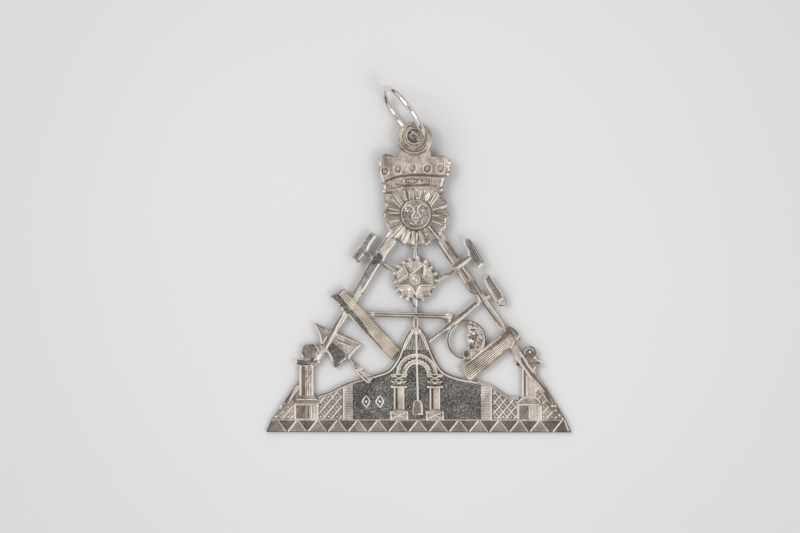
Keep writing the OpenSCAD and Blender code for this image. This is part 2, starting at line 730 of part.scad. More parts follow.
module hole() {
    translate(hole_at) {
        translate([0, 0, -1]) cylinder(r = hole_r, h = plate_t + relief + 2);
        translate([0, 0, plate_t / 2]) cylinder(r1 = hole_r, r2 = flare_r, h = plate_t / 2 + 0.01);
        translate([0, 0, face_z]) cylinder(r = flare_r, h = relief + 1);
        translate([0, 0, -0.01]) cylinder(r1 = flare_r, r2 = hole_r, h = plate_t / 2 + 0.01);
    }
}

module flat_plate() {
    base_band();
    mound();
    corner(-1, left_leg_foot, along(left_leg_mid, left_leg_foot, 0.42), left_pillar_x);
    corner(1, right_leg_foot, along(right_leg_mid, right_leg_foot, 0.5), right_pillar_x);
    left_leg();
    right_leg();
    left_rule();
    right_rule();
    pillar(left_pillar_x, -1);
    pillar(right_pillar_x, 1);
    foliage();
    mallet();
    gavel();
    maul();
    cross_bar();
    rods();
    trowel();
    moon();
    arch();
    column(arch_at[0] - (arch_r - arch_w / 2) - 0.45);
    column(arch_at[0] + (arch_r - arch_w / 2) + 0.45);
    plumb();
    sun();
    crown();
    star();
}

module jewel_plate() {
    color("silver") translate([0, -middle_y, 0]) rotate([tilt, 0, 0]) difference() {
        union() {
            flat_plate();
            eyelet();
        }
        hole();
    }
}

module jump_ring() {
    color("gainsboro") translate(ring_at - [0, middle_y, 0])
        rotate([0, 0, ring_turn]) rotate([ring_lean, 0, 0])
        rotate_extrude($fn = 96) translate([ring_r, 0]) circle(wire_r);
}

jewel_plate();
jump_ring();
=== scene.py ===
"""Looks of a pierced silver jewel that lies on a table with its ring standing in its eyelet.

The plate is drawn flat, in millimetres, as [across, up, above the back], and is then laid
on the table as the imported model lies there. Every emblem is a class of its own.
"""

import logging
import math
from collections.abc import Callable, Sequence
from dataclasses import dataclass, field
from enum import Enum
from typing import Protocol

import bmesh
import bpy
import numpy as np
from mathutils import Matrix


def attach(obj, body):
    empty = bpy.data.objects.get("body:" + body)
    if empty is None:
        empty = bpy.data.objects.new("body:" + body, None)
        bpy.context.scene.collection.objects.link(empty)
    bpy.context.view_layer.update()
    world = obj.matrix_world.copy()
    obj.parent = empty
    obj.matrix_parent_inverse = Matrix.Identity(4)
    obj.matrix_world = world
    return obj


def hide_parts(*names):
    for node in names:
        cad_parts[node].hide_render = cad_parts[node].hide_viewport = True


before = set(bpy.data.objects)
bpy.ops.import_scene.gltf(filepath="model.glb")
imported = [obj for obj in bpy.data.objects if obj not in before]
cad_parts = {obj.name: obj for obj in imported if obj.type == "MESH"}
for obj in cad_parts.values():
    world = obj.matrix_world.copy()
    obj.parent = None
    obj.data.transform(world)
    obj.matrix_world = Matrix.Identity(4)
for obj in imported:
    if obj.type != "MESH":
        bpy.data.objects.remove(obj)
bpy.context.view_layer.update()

log = logging.getLogger("jewel")
Point = tuple[float, float]
Triple = tuple[float, float, float]
Path = Sequence[Point]
Inside = Callable[[float, float], bool]
Socket = bpy.types.NodeSocket
Surface = Callable[..., np.ndarray]
Strokes = Sequence[tuple[float, Sequence[Path]]]
Dots = Sequence[tuple[float, Path]]
Swells = Sequence[tuple[float, Point, Point]]

PLATE_NODE = "jewel_plate"
RING_NODE = "jump_ring"

# One millimetre in metres.
MM = 0.001
# Heights of the plate's back, of its sunk grounds and of its face, in millimetres.
BACK, GROUND, FACE = 0.0, 0.75, 1.0
# Height part of the normal below which a face belongs to the back, and above which to the front.
DOWNWARD, FORWARD = -0.9, 0.3
# Edges that bend more than this stay sharp.
SHARP_EDGE = math.radians(48)
# Points that lie nearer together than this are one point, in millimetres.
SAME_PLACE = 1e-4
# Greatest hollow mark on the sides of a form, and the mark of its back.
SIDE_MARK, BACK_MARK = 0.8, 0.7


@dataclass(frozen=True)
class Seat:
    """How the flat plate lies on the table.

    Args:
        tilt: angle of the plate to the table, in radians.
        foot: place of the back's lower edge along the table, in metres.
    """

    tilt: float
    foot: float

    @classmethod
    def of_node(cls, node: bpy.types.Object) -> "Seat":
        """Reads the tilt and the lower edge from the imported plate.

        Args:
            node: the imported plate, which isn't changed.

        Returns:
            The seat that the plate has in the frame.
        """
        back = max(
            (face for face in node.data.polygons if face.normal.z < DOWNWARD), key=lambda face: face.area)
        lowest = min((vertex.co for vertex in node.data.vertices), key=lambda co: co.z)
        return cls(math.atan2(back.normal.y, -back.normal.z), lowest.y)

    def lay(self, points: np.ndarray) -> np.ndarray:
        """Lays points of the flat plate on the table.

        Args:
            points: rows of across, up and height, in millimetres.

        Returns:
            The same points in the frame, in metres.
        """
        across, up, high = (points * MM).T
        cos, sin = math.cos(self.tilt), math.sin(self.tilt)
        return np.stack([across, up * cos - high * sin + self.foot, up * sin + high * cos], 1)


@dataclass
class Shell:
    """A closed form of the flat plate.

    Args:
        points: rows of across, up and height, in millimetres.
        faces: point numbers of each face.
        front: how many of the faces, from the first, belong to the front.
        hollow: how deep each point lies below what is round it, from 0 to 1.
    """

    points: np.ndarray
    faces: list[tuple[int, ...]]
    front: int
    hollow: np.ndarray


def placed(name: str, data: bpy.types.ID) -> bpy.types.Object:
    """Puts an object with this data into the scene.

    Args:
        name: its name.
        data: its mesh, curve, lamp or camera.

    Returns:
        The object.
    """
    made = bpy.data.objects.new(name, data)
    bpy.context.scene.collection.objects.link(made)
    return made


def points_of(mesh: bpy.types.Mesh) -> np.ndarray:
    """The points of a mesh, as rows of x, y and z.

    Args:
        mesh: the mesh.

    Returns:
        A row for each point.
    """
    points = np.empty(len(mesh.vertices) * 3)
    mesh.vertices.foreach_get("co", points)
    return points.reshape(-1, 3)


def outward(mesh: bpy.types.Mesh) -> None:
    """Turns the faces of a mesh outwards and makes it smooth between its sharp edges.

    Args:
        mesh: the mesh, which is changed.
    """
    form = bmesh.new()
    form.from_mesh(mesh)
    bmesh.ops.recalc_face_normals(form, faces=form.faces)
    form.to_mesh(mesh)
    form.free()
    mesh.shade_smooth()
    mesh.set_sharp_from_angle(angle=SHARP_EDGE)


def sunk(z: np.ndarray, reach: int, wrap: bool, depth: float = 0.12) -> np.ndarray:
    """Marks what lies lower than its surroundings.

    Args:
        z: heights of a grid.
        reach: how many grid points count as the surroundings.
        wrap: whether the second direction closes on itself.
        depth: height difference that counts as fully sunk, in millimetres.

    Returns:
        A mark from 0 to 1 for each grid point.
    """
    mean = z
    for axis in (0, 1):
        pad = [(reach, reach) if k == axis else (0, 0) for k in (0, 1)]
        wide = np.pad(mean, pad, mode="wrap" if wrap and axis == 1 else "edge")
        total = np.cumsum(np.concatenate([np.zeros_like(wide.take([0], axis)), wide], axis), axis)
        size = 2 * reach + 1
        count = z.shape[axis]
        high = total.take(range(size, size + count), axis)
        mean = (high - total.take(range(count), axis)) / size
    return np.clip((mean - z) / depth, 0, 1)


def rounded(distance: np.ndarray, radius: float) -> np.ndarray:
    """Drop of a rounded edge at a distance from the rim.

    Args:
        distance: distance to the rim, in millimetres.
        radius: radius of the rounding, in millimetres.

    Returns:
        How far the surface lies below the flat, in millimetres.
    """
    share = np.clip(distance / radius, 0, 1)
    return radius * (1 - np.sqrt(np.clip(1 - (1 - share) ** 2, 0, 1)))


def ridge(value: np.ndarray, width: float) -> np.ndarray:
    """A rounded ridge along value = 0, from 1 on its line to 0 at half its width."""
    return np.sqrt(np.clip(1 - (2 * value / width) ** 2, 0, 1))


def swollen(x: np.ndarray, y: np.ndarray, swells: Swells) -> np.ndarray:
    """Height of soft swellings, each with its height, its middle and its radii across and up.

    Args:
        x: places across, in millimetres.
        y: places up, in millimetres.
        swells: height, middle and radii of each swelling.

    Returns:
        The heights, in millimetres.
    """
    return sum(
        high * np.exp(-(((x - at[0]) / size[0]) ** 2) - ((y - at[1]) / size[1]) ** 2)
        for high, at, size in swells)


def stroke(x: np.ndarray, y: np.ndarray, path: Path, width: float) -> np.ndarray:
    """A rounded ridge along a path of straight stretches.

    Args:
        x: places across.
        y: places up.
        path: the corners of the path, in millimetres.
        width: full width of the ridge, in millimetres.

    Returns:
        Its height at each place, from 0 to 1.
    """
    nearest = np.full(x.shape, 1e9)
    for (ax, ay), (bx, by) in zip(path, path[1:]):
        size = max((bx - ax) ** 2 + (by - ay) ** 2, 1e-9)
        share = np.clip(((x - ax) * (bx - ax) + (y - ay) * (by - ay)) / size, 0, 1)
        gap = np.hypot(x - ax - share * (bx - ax), y - ay - share * (by - ay))
        nearest = np.minimum(nearest, gap)
    return ridge(nearest, width)


def across_at(line: Path, up: float | np.ndarray) -> np.ndarray:
    """Place across of a rising line at a height."""
    return np.interp(up, [p[1] for p in line], [p[0] for p in line])


def closed(line: Path) -> list[Point]:
    """A line that comes back to its first point."""
    return [*line, line[0]]


def moved(line: Path, by: Point) -> list[Point]:
    """A line moved across and up."""
    return [(by[0] + x, by[1] + y) for x, y in line]


def around(middle: Point, radius: float, angle: float) -> Point:
    """The point at a distance from a middle, in a direction in radians."""
    return middle[0] + radius * math.cos(angle), middle[1] + radius * math.sin(angle)


def flow(points: Path, steps: int = 4) -> list[Point]:
    """A smooth line through points.

    Args:
        points: what the line passes through.
        steps: how many stretches it has between two of them.

    Returns:
        The points of the smooth line.
    """
    p = np.array([points[0], *points, points[-1]], float)
    line = []
    for a, b, c, d in zip(p, p[1:], p[2:], p[3:]):
        for t in np.arange(steps) / steps:
            bend, twist = 2 * a - 5 * b + 4 * c - d, 3 * b - a - 3 * c + d
            line.append(0.5 * (2 * b + (c - a) * t + bend * t**2 + twist * t**3))
    return [tuple(q) for q in line] + [tuple(p[-1])]


def spaced(count: int, rim: float = 1.6) -> np.ndarray:
    """Numbers from -1 to 1 that lie closer together near both ends."""
    even = np.linspace(-1, 1, count)
    return np.sign(even) * (1 - (1 - np.abs(even)) ** rim)


def patch(x: np.ndarray, y: np.ndarray, z: np.ndarray, back: float = BACK) -> Shell:
    """A closed form whose front is a grid and whose back is flat.

    Args:
        x: places across, along rows and columns.
        y: places up.
        z: heights of the front.
        back: height of the flat back.

    Returns:
        The closed form.
    """
    rows, cols = x.shape
    top = np.stack([x, y, z], 2).reshape(-1, 3)
    low = np.stack([x[:, [0, -1]], y[:, [0, -1]], np.full((rows, 2), back)], 2).reshape(-1, 3)
    number = np.arange(rows * cols).reshape(rows, cols)
    under = rows * cols + np.arange(rows * 2).reshape(rows, 2)
    front = np.stack([number[:-1, :-1], number[1:, :-1], number[1:, 1:], number[:-1, 1:]], 2)
    faces = [tuple(face) for face in front.reshape(-1, 4).tolist()]
    count = len(faces)
    for edge, side in ((0, 0), (cols - 1, 1)):
        for i in range(rows - 1):
            faces.append(
                (int(number[i, edge]), int(number[i + 1, edge]), int(under[i + 1, side]),
                 int(under[i, side])))
    for i in range(rows - 1):
        faces.append(tuple(int(n) for n in (under[i, 0], under[i, 1], under[i + 1, 1], under[i + 1, 0])))
    for i in (0, rows - 1):
        faces.append(tuple(number[i].tolist()) + (int(under[i, 1]), int(under[i, 0])))
    marks = sunk(z, reach=max(2, min(rows, cols) // 14), wrap=False)
    return Shell(
        np.concatenate([top, low]), faces, count,
        np.concatenate([marks.ravel(), np.full(rows * 2, BACK_MARK)]))


def bar(
        line: Path, widths: Sequence[float], height: Surface, across: int = 15, step: float = 0.25,
        edge: float = 0.12, back: float = BACK) -> Shell:
    """A bar along a line.

    Args:
        line: its middle line, in millimetres.
        widths: its width at each point of the line.
        height: gives the front's height from the place across (-1 to 1) and along (mm).
        across: grid points across.
        step: grid step along, in millimetres.
        edge: radius of its rounded edges.
        back: height of its back.

    Returns:
        The closed form.
    """
    p = np.array(line, float)
    leg = np.hypot(*np.diff(p, axis=0).T)
    reach = np.concatenate([[0], np.cumsum(leg)])
    steps = max(4, int(reach[-1] / step))
    ends = np.array([0, edge * 0.3, edge * 0.7, edge])
    run = np.unique(
        np.concatenate([ends, np.linspace(edge, reach[-1] - edge, steps), reach[-1] - ends, reach[1:-1]]))
    way = np.diff(p, axis=0) / leg[:, None]
    turn = np.concatenate([way[:1], way[:-1] + way[1:], way[-1:]])
    turn /= np.hypot(*turn.T)[:, None]
    cx, cy, w = (np.interp(run, reach, q) for q in (*p.T, np.array(widths, float)))
    nx, ny = np.interp(run, reach, -turn[:, 1]), np.interp(run, reach, turn[:, 0])
    t = spaced(across)[None, :]
    x = cx[:, None] + nx[:, None] * t * w[:, None] / 2
    y = cy[:, None] + ny[:, None] * t * w[:, None] / 2
    s = np.broadcast_to(run[:, None], x.shape)
    rim = np.minimum((1 - np.abs(t)) * w[:, None] / 2, np.minimum(s, reach[-1] - s))
    z = height(np.broadcast_to(t, x.shape), s) - rounded(rim, edge)
    return patch(x, y, z, back)


def spanned(
        left: Path, right: Path, height: Surface, count: Point = (60, 60), edge: float = 0.15,
        back: float = BACK) -> Shell:
    """A form between a left and a right outline.

    Args:
        left: points of the left outline, going up.
        right: points of the right outline, going up.
        height: gives the front's height at a place across and up.
        count: grid points up and across.
        edge: radius of its rounded edges.
        back: height of its back.

    Returns:
        The closed form.
    """
    low, high = max(left[0][1], right[0][1]), min(left[-1][1], right[-1][1])
    up = low + (spaced(count[0], rim=1.3) + 1) / 2 * (high - low)
    a, b = across_at(left, up)[:, None], across_at(right, up)[:, None]
    t = (spaced(count[1], rim=1.4)[None, :] + 1) / 2
    x, y = a + (b - a) * t, np.broadcast_to(up[:, None], (len(up), t.shape[1]))
    rim = np.minimum(np.minimum(t, 1 - t) * (b - a), np.minimum(y - low, high - y))
    return patch(x, y, height(x, y) - rounded(rim, edge), back)


def medal(
        middle: Point, outline: Surface, height: Surface, count: Point = (48, 384), edge: float = 0.15,
        back: float = BACK) -> Shell:
    """A round form with its own outline and relief.

    Args:
        middle: its middle, in millimetres.
        outline: gives the radius at an angle.
        height: gives the front's height from x, y, radius and angle about the middle.
        count: rings and spokes of the grid.
        edge: radius of its rounded edge.
        back: height of its back.

    Returns:
        The closed form.
    """
    share = (1 - (1 - np.linspace(0, 1, count[0])) ** 1.35)[1:, None]
    angle = np.linspace(0, 2 * math.pi, count[1], endpoint=False)[None, :]
    limit = outline(angle)
    radius = share * limit
    x, y = radius * np.cos(angle), radius * np.sin(angle)
    angle = np.broadcast_to(angle, x.shape)
    z = height(x, y, radius, angle) - rounded((1 - share) * limit, edge)
    rings, spokes = x.shape
    peak = float(height(*(np.zeros((1, 1)),) * 4)[0, 0])
    top = np.stack([x + middle[0], y + middle[1], z], 2).reshape(-1, 3)
    low = np.stack([x[-1] + middle[0], y[-1] + middle[1], np.full(spokes, back)], 1)
    centre = rings * spokes + spokes
    number = np.arange(rings * spokes).reshape(rings, spokes)
    after = np.roll(number, -1, 1)
    front = np.stack([number[:-1], number[1:], after[1:], after[:-1]], 2)
    faces = [tuple(face) for face in front.reshape(-1, 4).tolist()]
    faces += [(centre, int(a), int(b)) for a, b in zip(number[0], after[0])]
    total = len(faces)
    under = rings * spokes + np.arange(spokes)
    beyond = np.roll(under, -1)
    faces += [(int(a), int(c), int(d), int(b)) for a, b, c, d in zip(number[-1], after[-1], under, beyond)]
    faces.append(tuple(under.tolist()))
    marks = sunk(z, reach=3, wrap=True)
    points = np.concatenate([top, low, [[middle[0], middle[1], peak]]])
    return Shell(points, faces, total, np.concatenate([marks.ravel(), np.full(spokes, BACK_MARK), [0]]))


def turned(rings: Sequence[tuple[float, float, float, float]], spokes: int, front: int) -> Shell:
    """A form like a washer, through circles that close on themselves.

    Args:
        rings: middle across, middle up, radius and height of each circle, in order.
        spokes: points on each circle.
        front: how many of the circles, from the first, belong to the front.

    Returns:
        The closed form.
    """
    a = np.linspace(0, 2 * math.pi, spokes, endpoint=False)
    points = [
        np.stack([cx + r * np.cos(a), cy + r * np.sin(a), np.full(spokes, z)], 1) for cx, cy, r, z in rings]
    number = np.arange(len(rings) * spokes).reshape(-1, spokes)
    faces = []
    for k in range(len(rings)):
        here, there = number[k], number[(k + 1) % len(rings)]
        for i in range(spokes):
            j = (i + 1) % spokes
            faces.append(tuple(int(n) for n in (here[i], here[j], there[j], there[i])))
    z = np.array([[ring[3]] * 2 for ring in rings])
    marks = np.repeat(sunk(z, reach=1, wrap=False, depth=0.1)[:, 0], spokes)
    return Shell(np.concatenate(points), faces, (front - 1) * spokes, marks)


def slab(outlines: Sequence[Path], low: float, high: float, edge: float = 0.09) -> Shell:
    """A flat form with rounded edges, cut along outlines.

    Args:
        outlines: closed outlines in millimetres; one inside another is a hole.
        low: height of its back.
        high: height of its face.
        edge: radius of its rounded edges.

    Returns:
        The closed form.
    """
    curve = bpy.data.curves.new("outline", "CURVE")
    curve.dimensions = "2D"
    curve.fill_mode = "BOTH"
    curve.bevel_depth = edge
    curve.bevel_resolution = 2
    curve.offset = -edge
    curve.extrude = (high - low) / 2 - edge
    for outline in outlines:
        spline = curve.splines.new("POLY")
        spline.points.add(len(outline) - 1)
        spline.use_cyclic_u = True
        for point, (x, y) in zip(spline.points, outline):
            point.co = (x, y, 0, 1)
    blank = placed("outline", curve)
    mesh = bpy.data.meshes.new_from_object(blank.evaluated_get(bpy.context.evaluated_depsgraph_get()))
    form = bmesh.new()
    form.from_mesh(mesh)
    bmesh.ops.remove_doubles(form, verts=form.verts, dist=SAME_PLACE)
    bmesh.ops.recalc_face_normals(form, faces=form.faces)
    form.normal_update()
    form.verts.index_update()
    points = np.array([vertex.co for vertex in form.verts]) + [0, 0, (high + low) / 2]
    faces = sorted(form.faces, key=lambda face: face.normal.z < FORWARD)
    front = sum(face.normal.z >= FORWARD for face in faces)
    numbers = [tuple(vertex.index for vertex in face.verts) for face in faces]
    form.free()
    bpy.data.objects.remove(blank)
    bpy.data.curves.remove(curve)
    bpy.data.meshes.remove(mesh)
    marks = np.clip((high - edge - points[:, 2]) / max(high - low - edge, 0.05), 0, SIDE_MARK)
    return Shell(points, numbers, front, marks)


class Graph:
    """Adds nodes to a tree and links them."""

    def __init__(self, tree: bpy.types.NodeTree) -> None:
        """Takes the tree that the nodes go into."""
        self.tree = tree

    def add(self, kind: str, inputs: dict | None = None, **settings: object) -> bpy.types.Node:
        """Adds a node.

        Args:
            kind: the node's type.
            inputs: a value or a socket for each input, by its name or number.
            settings: the node's own settings.

        Returns:
            The node.
        """
        node = self.tree.nodes.new(kind)
        for name, value in settings.items():
            setattr(node, name, value)
        for name, value in (inputs or {}).items():
            if isinstance(value, Socket):
                self.tree.links.new(value, node.inputs[name])
            else:
                node.inputs[name].default_value = value
        return node

    def out(self, kind: str, inputs: dict | None = None, **settings: object) -> Socket:
        """Adds a node and gives its first output."""
        return self.add(kind, inputs, **settings).outputs[0]

    def maths(self, operation: str, *values: object, clamp: bool = False) -> Socket:
        """Works out a number from others.

        Args:
            operation: name of the sum.
            values: numbers or sockets.
            clamp: whether the result is kept from 0 to 1.

        Returns:
            The socket that holds the result.
        """
        inputs = dict(enumerate(values))
        return self.out("ShaderNodeMath", inputs, operation=operation, use_clamp=clamp)

    def stretch(self, value: Socket, gain: float, shift: float) -> Socket:
        """Stretches a number and keeps the result from 0 to 1."""
        return self.maths("MULTIPLY_ADD", value, gain, shift, clamp=True)

    def noise(self, where: Socket, scale: object, detail: float = 2.0, rough: float = 0.5) -> Socket:
        """Adds a noise texture and gives its grey value."""
        inputs = {"Vector": where, "Scale": scale, "Detail": detail, "Roughness": rough}
        return self.out("ShaderNodeTexNoise", inputs)

    def mix(self, share: Socket, first: object, second: object) -> Socket:
        """Mixes two colours."""
        return self.add("ShaderNodeMix", {0: share, 6: first, 7: second}, data_type="RGBA").outputs[2]

    def ramp(self, value: Socket, start: float, end: float) -> Socket:
        """Rises softly from 0 to 1 between two values."""
        inputs = {0: value, 1: start, 2: end}
        return self.out("ShaderNodeMapRange", inputs, interpolation_type="SMOOTHSTEP")

    def bump(self, high: Socket, strength: float, distance: float, over: Socket | None = None) -> Socket:
        """Turns a height in metres into a normal, over another normal if there is one.

        Args:
            high: socket of the height.
            strength: how strongly the height counts, from 0 to 1.
            distance: what a height of 1 stands for, in metres.
            over: socket of the normal under it, or None.

        Returns:
            The socket of the normal.
        """
        inputs = {"Height": high, "Strength": strength, "Distance": distance}
        if over is not None:
            inputs["Normal"] = over
        return self.out("ShaderNodeBump", inputs)

    def group(self, name: str, inputs: dict) -> bpy.types.Node:
        """Adds a node group of the file."""
        return self.add("ShaderNodeGroup", inputs, node_tree=bpy.data.node_groups[name])


class GroupGraph(Graph):
    """A node group that is being built, with its two ends.

    Args:
        tree: the group's tree.
    """

    def __init__(self, tree: bpy.types.NodeTree) -> None:
        """Adds the group's two ends.

        Args:
            tree: the group's tree.
        """
        super().__init__(tree)
        self.source = self.add("NodeGroupInput").outputs
        self.result = self.add("NodeGroupOutput").inputs

    def put(self, name: str, value: Socket) -> None:
        """Links a socket to one of the group's outputs."""
        self.tree.links.new(value, self.result[name])

    def close(self, shape: Socket, finish: Socket) -> None:
        """Ends a geometry tree: instances made real, smooth faces and the finish.

        Args:
            shape: socket of the shape.
            finish: socket of its material.
        """
        real = self.out("GeometryNodeRealizeInstances", {"Geometry": shape})
        smooth = self.out("GeometryNodeSetShadeSmooth", {"Geometry": real})
        dressed = self.out("GeometryNodeSetMaterial", {"Geometry": smooth, "Material": finish})
        self.put("Geometry", dressed)


FLOAT, COLOUR, VECTOR = "NodeSocketFloat", "NodeSocketColor", "NodeSocketVector"
SHAPE, MATERIAL = "NodeSocketGeometry", "NodeSocketMaterial"


def open_group(name: str, kind: str, inputs: Sequence[tuple], outputs: Sequence[tuple]) -> GroupGraph:
    """Starts a node group with named inputs and outputs.

    Args:
        name: its name.
        kind: its tree type.
        inputs: name, socket type and default of each input.
        outputs: name and socket type of each output.

    Returns:
        The group's graph.
    """
    tree = bpy.data.node_groups.new(name, kind)
    for title, socket, default in inputs:
        made = tree.interface.new_socket(title, in_out="INPUT", socket_type=socket)
        if default is not None:
            made.default_value = default
    for title, socket in outputs:
        tree.interface.new_socket(title, in_out="OUTPUT", socket_type=socket)
    return GroupGraph(tree)


def surface_group(name: str, inputs: Sequence[tuple], outputs: Sequence[tuple]) -> GroupGraph:
    """Starts a shader group that takes a place besides its own inputs."""
    return open_group(name, "ShaderNodeTree", [("Vector", VECTOR, None), *inputs], outputs)


def shape_group(name: str, inputs: Sequence[tuple]) -> GroupGraph:
    """Starts a geometry tree that takes a shape and a finish besides its own inputs."""
    ends = [("Geometry", SHAPE, None), *inputs, ("Finish", MATERIAL, None)]
    return open_group(name, "GeometryNodeTree", ends, [("Geometry", SHAPE)])


def tone_group() -> bpy.types.NodeTree:
    """Tarnish of silver: dark in the hollows and cloudy on the open faces.

    Returns:
        The group, which puts out a colour and a mask.
    """
    g = surface_group(
        "tarnish",
        [("Hollow", FLOAT, 0.0), ("Rubbed", COLOUR, (0.8, 0.8, 0.8, 1)),
         ("Tarnished", COLOUR, (0.2, 0.2, 0.2, 1)), ("Warm", COLOUR, (0.6, 0.5, 0.4, 1)),
         ("Amount", FLOAT, 0.3), ("Cloud", FLOAT, 300.0)],
        [("Color", COLOUR), ("Mask", FLOAT)])
    s = g.source
    cloud = g.noise(s["Vector"], scale=s["Cloud"], detail=5.0, rough=0.6)
    fine = g.noise(s["Vector"], scale=2600.0, detail=3.0)
    patchy = g.stretch(cloud, gain=2.6, shift=-0.85)
    specks = g.stretch(fine, gain=3.0, shift=-1.2)
    open_face = g.maths("MULTIPLY", g.maths("MULTIPLY_ADD", specks, 0.5, patchy), s["Amount"])
    mask = g.maths("ADD", open_face, g.maths("MULTIPLY", s["Hollow"], 0.95), clamp=True)
    tint = g.mix(patchy, s["Rubbed"], s["Warm"])
    g.put("Color", g.mix(mask, tint, s["Tarnished"]))
    g.put("Mask", mask)
    return g.tree


def punch_group() -> bpy.types.NodeTree:
    """Ground matted with a round punch.

    Returns:
        The group, which puts out a height and a mask of the pits.
    """
    g = surface_group("punched_ground", [("Spacing", FLOAT, 0.0003)], [("Height", FLOAT), ("Pits", FLOAT)])
    s = g.source
    scale = g.maths("DIVIDE", 1.0, s["Spacing"])
    pits = g.out("ShaderNodeTexVoronoi", {"Vector": s["Vector"], "Scale": scale}, feature="F1")
    blur = g.noise(s["Vector"], scale=scale, detail=3.0)
    high = g.maths("ADD", g.maths("MULTIPLY", pits, 0.9), g.maths("MULTIPLY", blur, 0.5))
    g.put("Height", high)
    g.put("Pits", g.stretch(high, gain=-2.6, shift=2.45))
    return g.tree


def graver_group() -> bpy.types.NodeTree:
    """Close lines cut with a graver.

    Returns:
        The group, which puts out a height and a mask of the cuts.
    """
    g = surface_group(
        "graver_lines",
        [("Across", VECTOR, (1.0, 0.0, 0.0)), ("Pitch", FLOAT, 0.0004), ("Wander", FLOAT, 0.25)],
        [("Height", FLOAT), ("Cuts", FLOAT)])
    s = g.source
    place = g.add(
        "ShaderNodeVectorMath", {0: s["Vector"], 1: s["Across"]}, operation="DOT_PRODUCT").outputs["Value"]
    sway = g.noise(s["Vector"], scale=700.0)
    count = g.maths("ADD", g.maths("DIVIDE", place, s["Pitch"]), g.maths("MULTIPLY", sway, s["Wander"]))
    wave = g.maths("PINGPONG", count, 0.5)
    uneven = g.noise(s["Vector"], scale=1500.0, detail=3.0)
    high = g.maths("MULTIPLY", g.stretch(wave, gain=2.6, shift=0.0), g.stretch(uneven, gain=0.8, shift=0.55))
    g.put("Height", high)
    g.put("Cuts", g.maths("SUBTRACT", 1.0, high, clamp=True))
    return g.tree


def grain_group() -> bpy.types.NodeTree:
    """Skin of cast metal that has been worn and lightly scratched.

    Returns:
        The group, which puts out a height and a mask of the scratches.
    """
    g = surface_group(
        "cast_skin", [("Grain", FLOAT, 2200.0), ("Scratches", FLOAT, 0.5)],
        [("Height", FLOAT), ("Scratches", FLOAT)])
    s = g.source
    grain = g.noise(s["Vector"], scale=s["Grain"], detail=6.0, rough=0.65)
    turn = g.out(
        "ShaderNodeMapping",
        {"Vector": s["Vector"], "Rotation": (0.0, 0.0, 0.7), "Scale": (260.0, 5200.0, 900.0)})
    lines = g.noise(turn, scale=1.0)
    marks = g.maths("MULTIPLY", g.stretch(lines, gain=6.0, shift=-3.7), s["Scratches"])
    g.put("Height", g.maths("SUBTRACT", grain, g.maths("MULTIPLY", marks, 0.6)))
    g.put("Scratches", marks)
    return g.tree


class Work(Enum):
    """How a face of the silver was worked after casting."""

    PLAIN = "plain"
    PUNCHED = "punched"
    LINED = "lined"


@dataclass(frozen=True)
class Finish:
    """A finish of silver.

    Args:
        name: its name.
        rubbed: colour where fingers and cloth rub it.
        tarnished: colour in the hollows.
        warm: colour of a thin tarnish.
        rough: roughness of the rubbed metal.
        dull: what the tarnish adds to the roughness.
        amount: how much tarnish lies on the open faces.
        work: how it was worked.
        pitch: distance between pits or lines, in millimetres.
        depth: depth of pits or lines, in millimetres.
        lines: direction across the lines, in degrees.
        deep: how dark the pits or cuts are.
    """

    name: str
    rubbed: Triple = (0.90, 0.84, 0.77)
    tarnished: Triple = (0.085, 0.07, 0.065)
    warm: Triple = (0.66, 0.56, 0.49)
    rough: float = 0.36
    dull: float = 0.3
    amount: float = 0.35
    work: Work = Work.PLAIN
    pitch: float = 0.4
    depth: float = 0.03
    lines: float = 0.0
    deep: float = 0.9

    def worked(self, g: Graph, where: Socket) -> tuple | None:
        """Adds the pits or lines.

        Args:
            g: the material's graph.
            where: the socket of object coordinates.

        Returns:
            The sockets of their height and mask, or None on a plain finish.
        """
        if self.work is Work.PUNCHED:
            node = g.group("punched_ground", {"Vector": where, "Spacing": self.pitch * MM})
        elif self.work is Work.LINED:
            angle = math.radians(self.lines)
            across = (math.cos(angle), math.sin(angle), 0.0)
            node = g.group("graver_lines", {"Vector": where, "Across": across, "Pitch": self.pitch * MM})
        else:
            return None
        return node.outputs[0], node.outputs[1]

    def material(self) -> bpy.types.Material:
        """Builds the material, or finds it if it is there.

        Returns:
            The material.
        """
        found = bpy.data.materials.get(self.name)
        if found:
            return found
        made = bpy.data.materials.new(self.name)
        made.use_nodes = True
        made.node_tree.nodes.clear()
        g = Graph(made.node_tree)
        where = g.add("ShaderNodeTexCoord").outputs["Object"]
        hollow = g.add("ShaderNodeAttribute", attribute_name="hollow").outputs["Fac"]
        skin = g.group("cast_skin", {"Vector": where})
        cut = self.worked(g, where)
        deep = hollow if cut is None else g.maths(
            "ADD", hollow, g.maths("MULTIPLY", cut[1], self.deep), clamp=True)
        tone = g.group(
            "tarnish",
            {"Vector": where, "Hollow": deep, "Amount": self.amount, "Rubbed": (*self.rubbed, 1),
             "Tarnished": (*self.tarnished, 1), "Warm": (*self.warm, 1)})
        rough = g.maths("MULTIPLY_ADD", tone.outputs["Mask"], self.dull, self.rough)
        shader = g.add(
            "ShaderNodeBsdfPrincipled",
            {"Metallic": 1.0, "Base Color": tone.outputs["Color"], "Roughness": rough})
        normal = g.bump(skin.outputs["Height"], strength=0.6, distance=0.03 * MM)
        if cut is not None:
            normal = g.bump(cut[0], strength=0.9, distance=self.depth * MM, over=normal)
        g.tree.links.new(normal, shader.inputs["Normal"])
        g.add("ShaderNodeOutputMaterial", {"Surface": shader.outputs[0]})
        return made


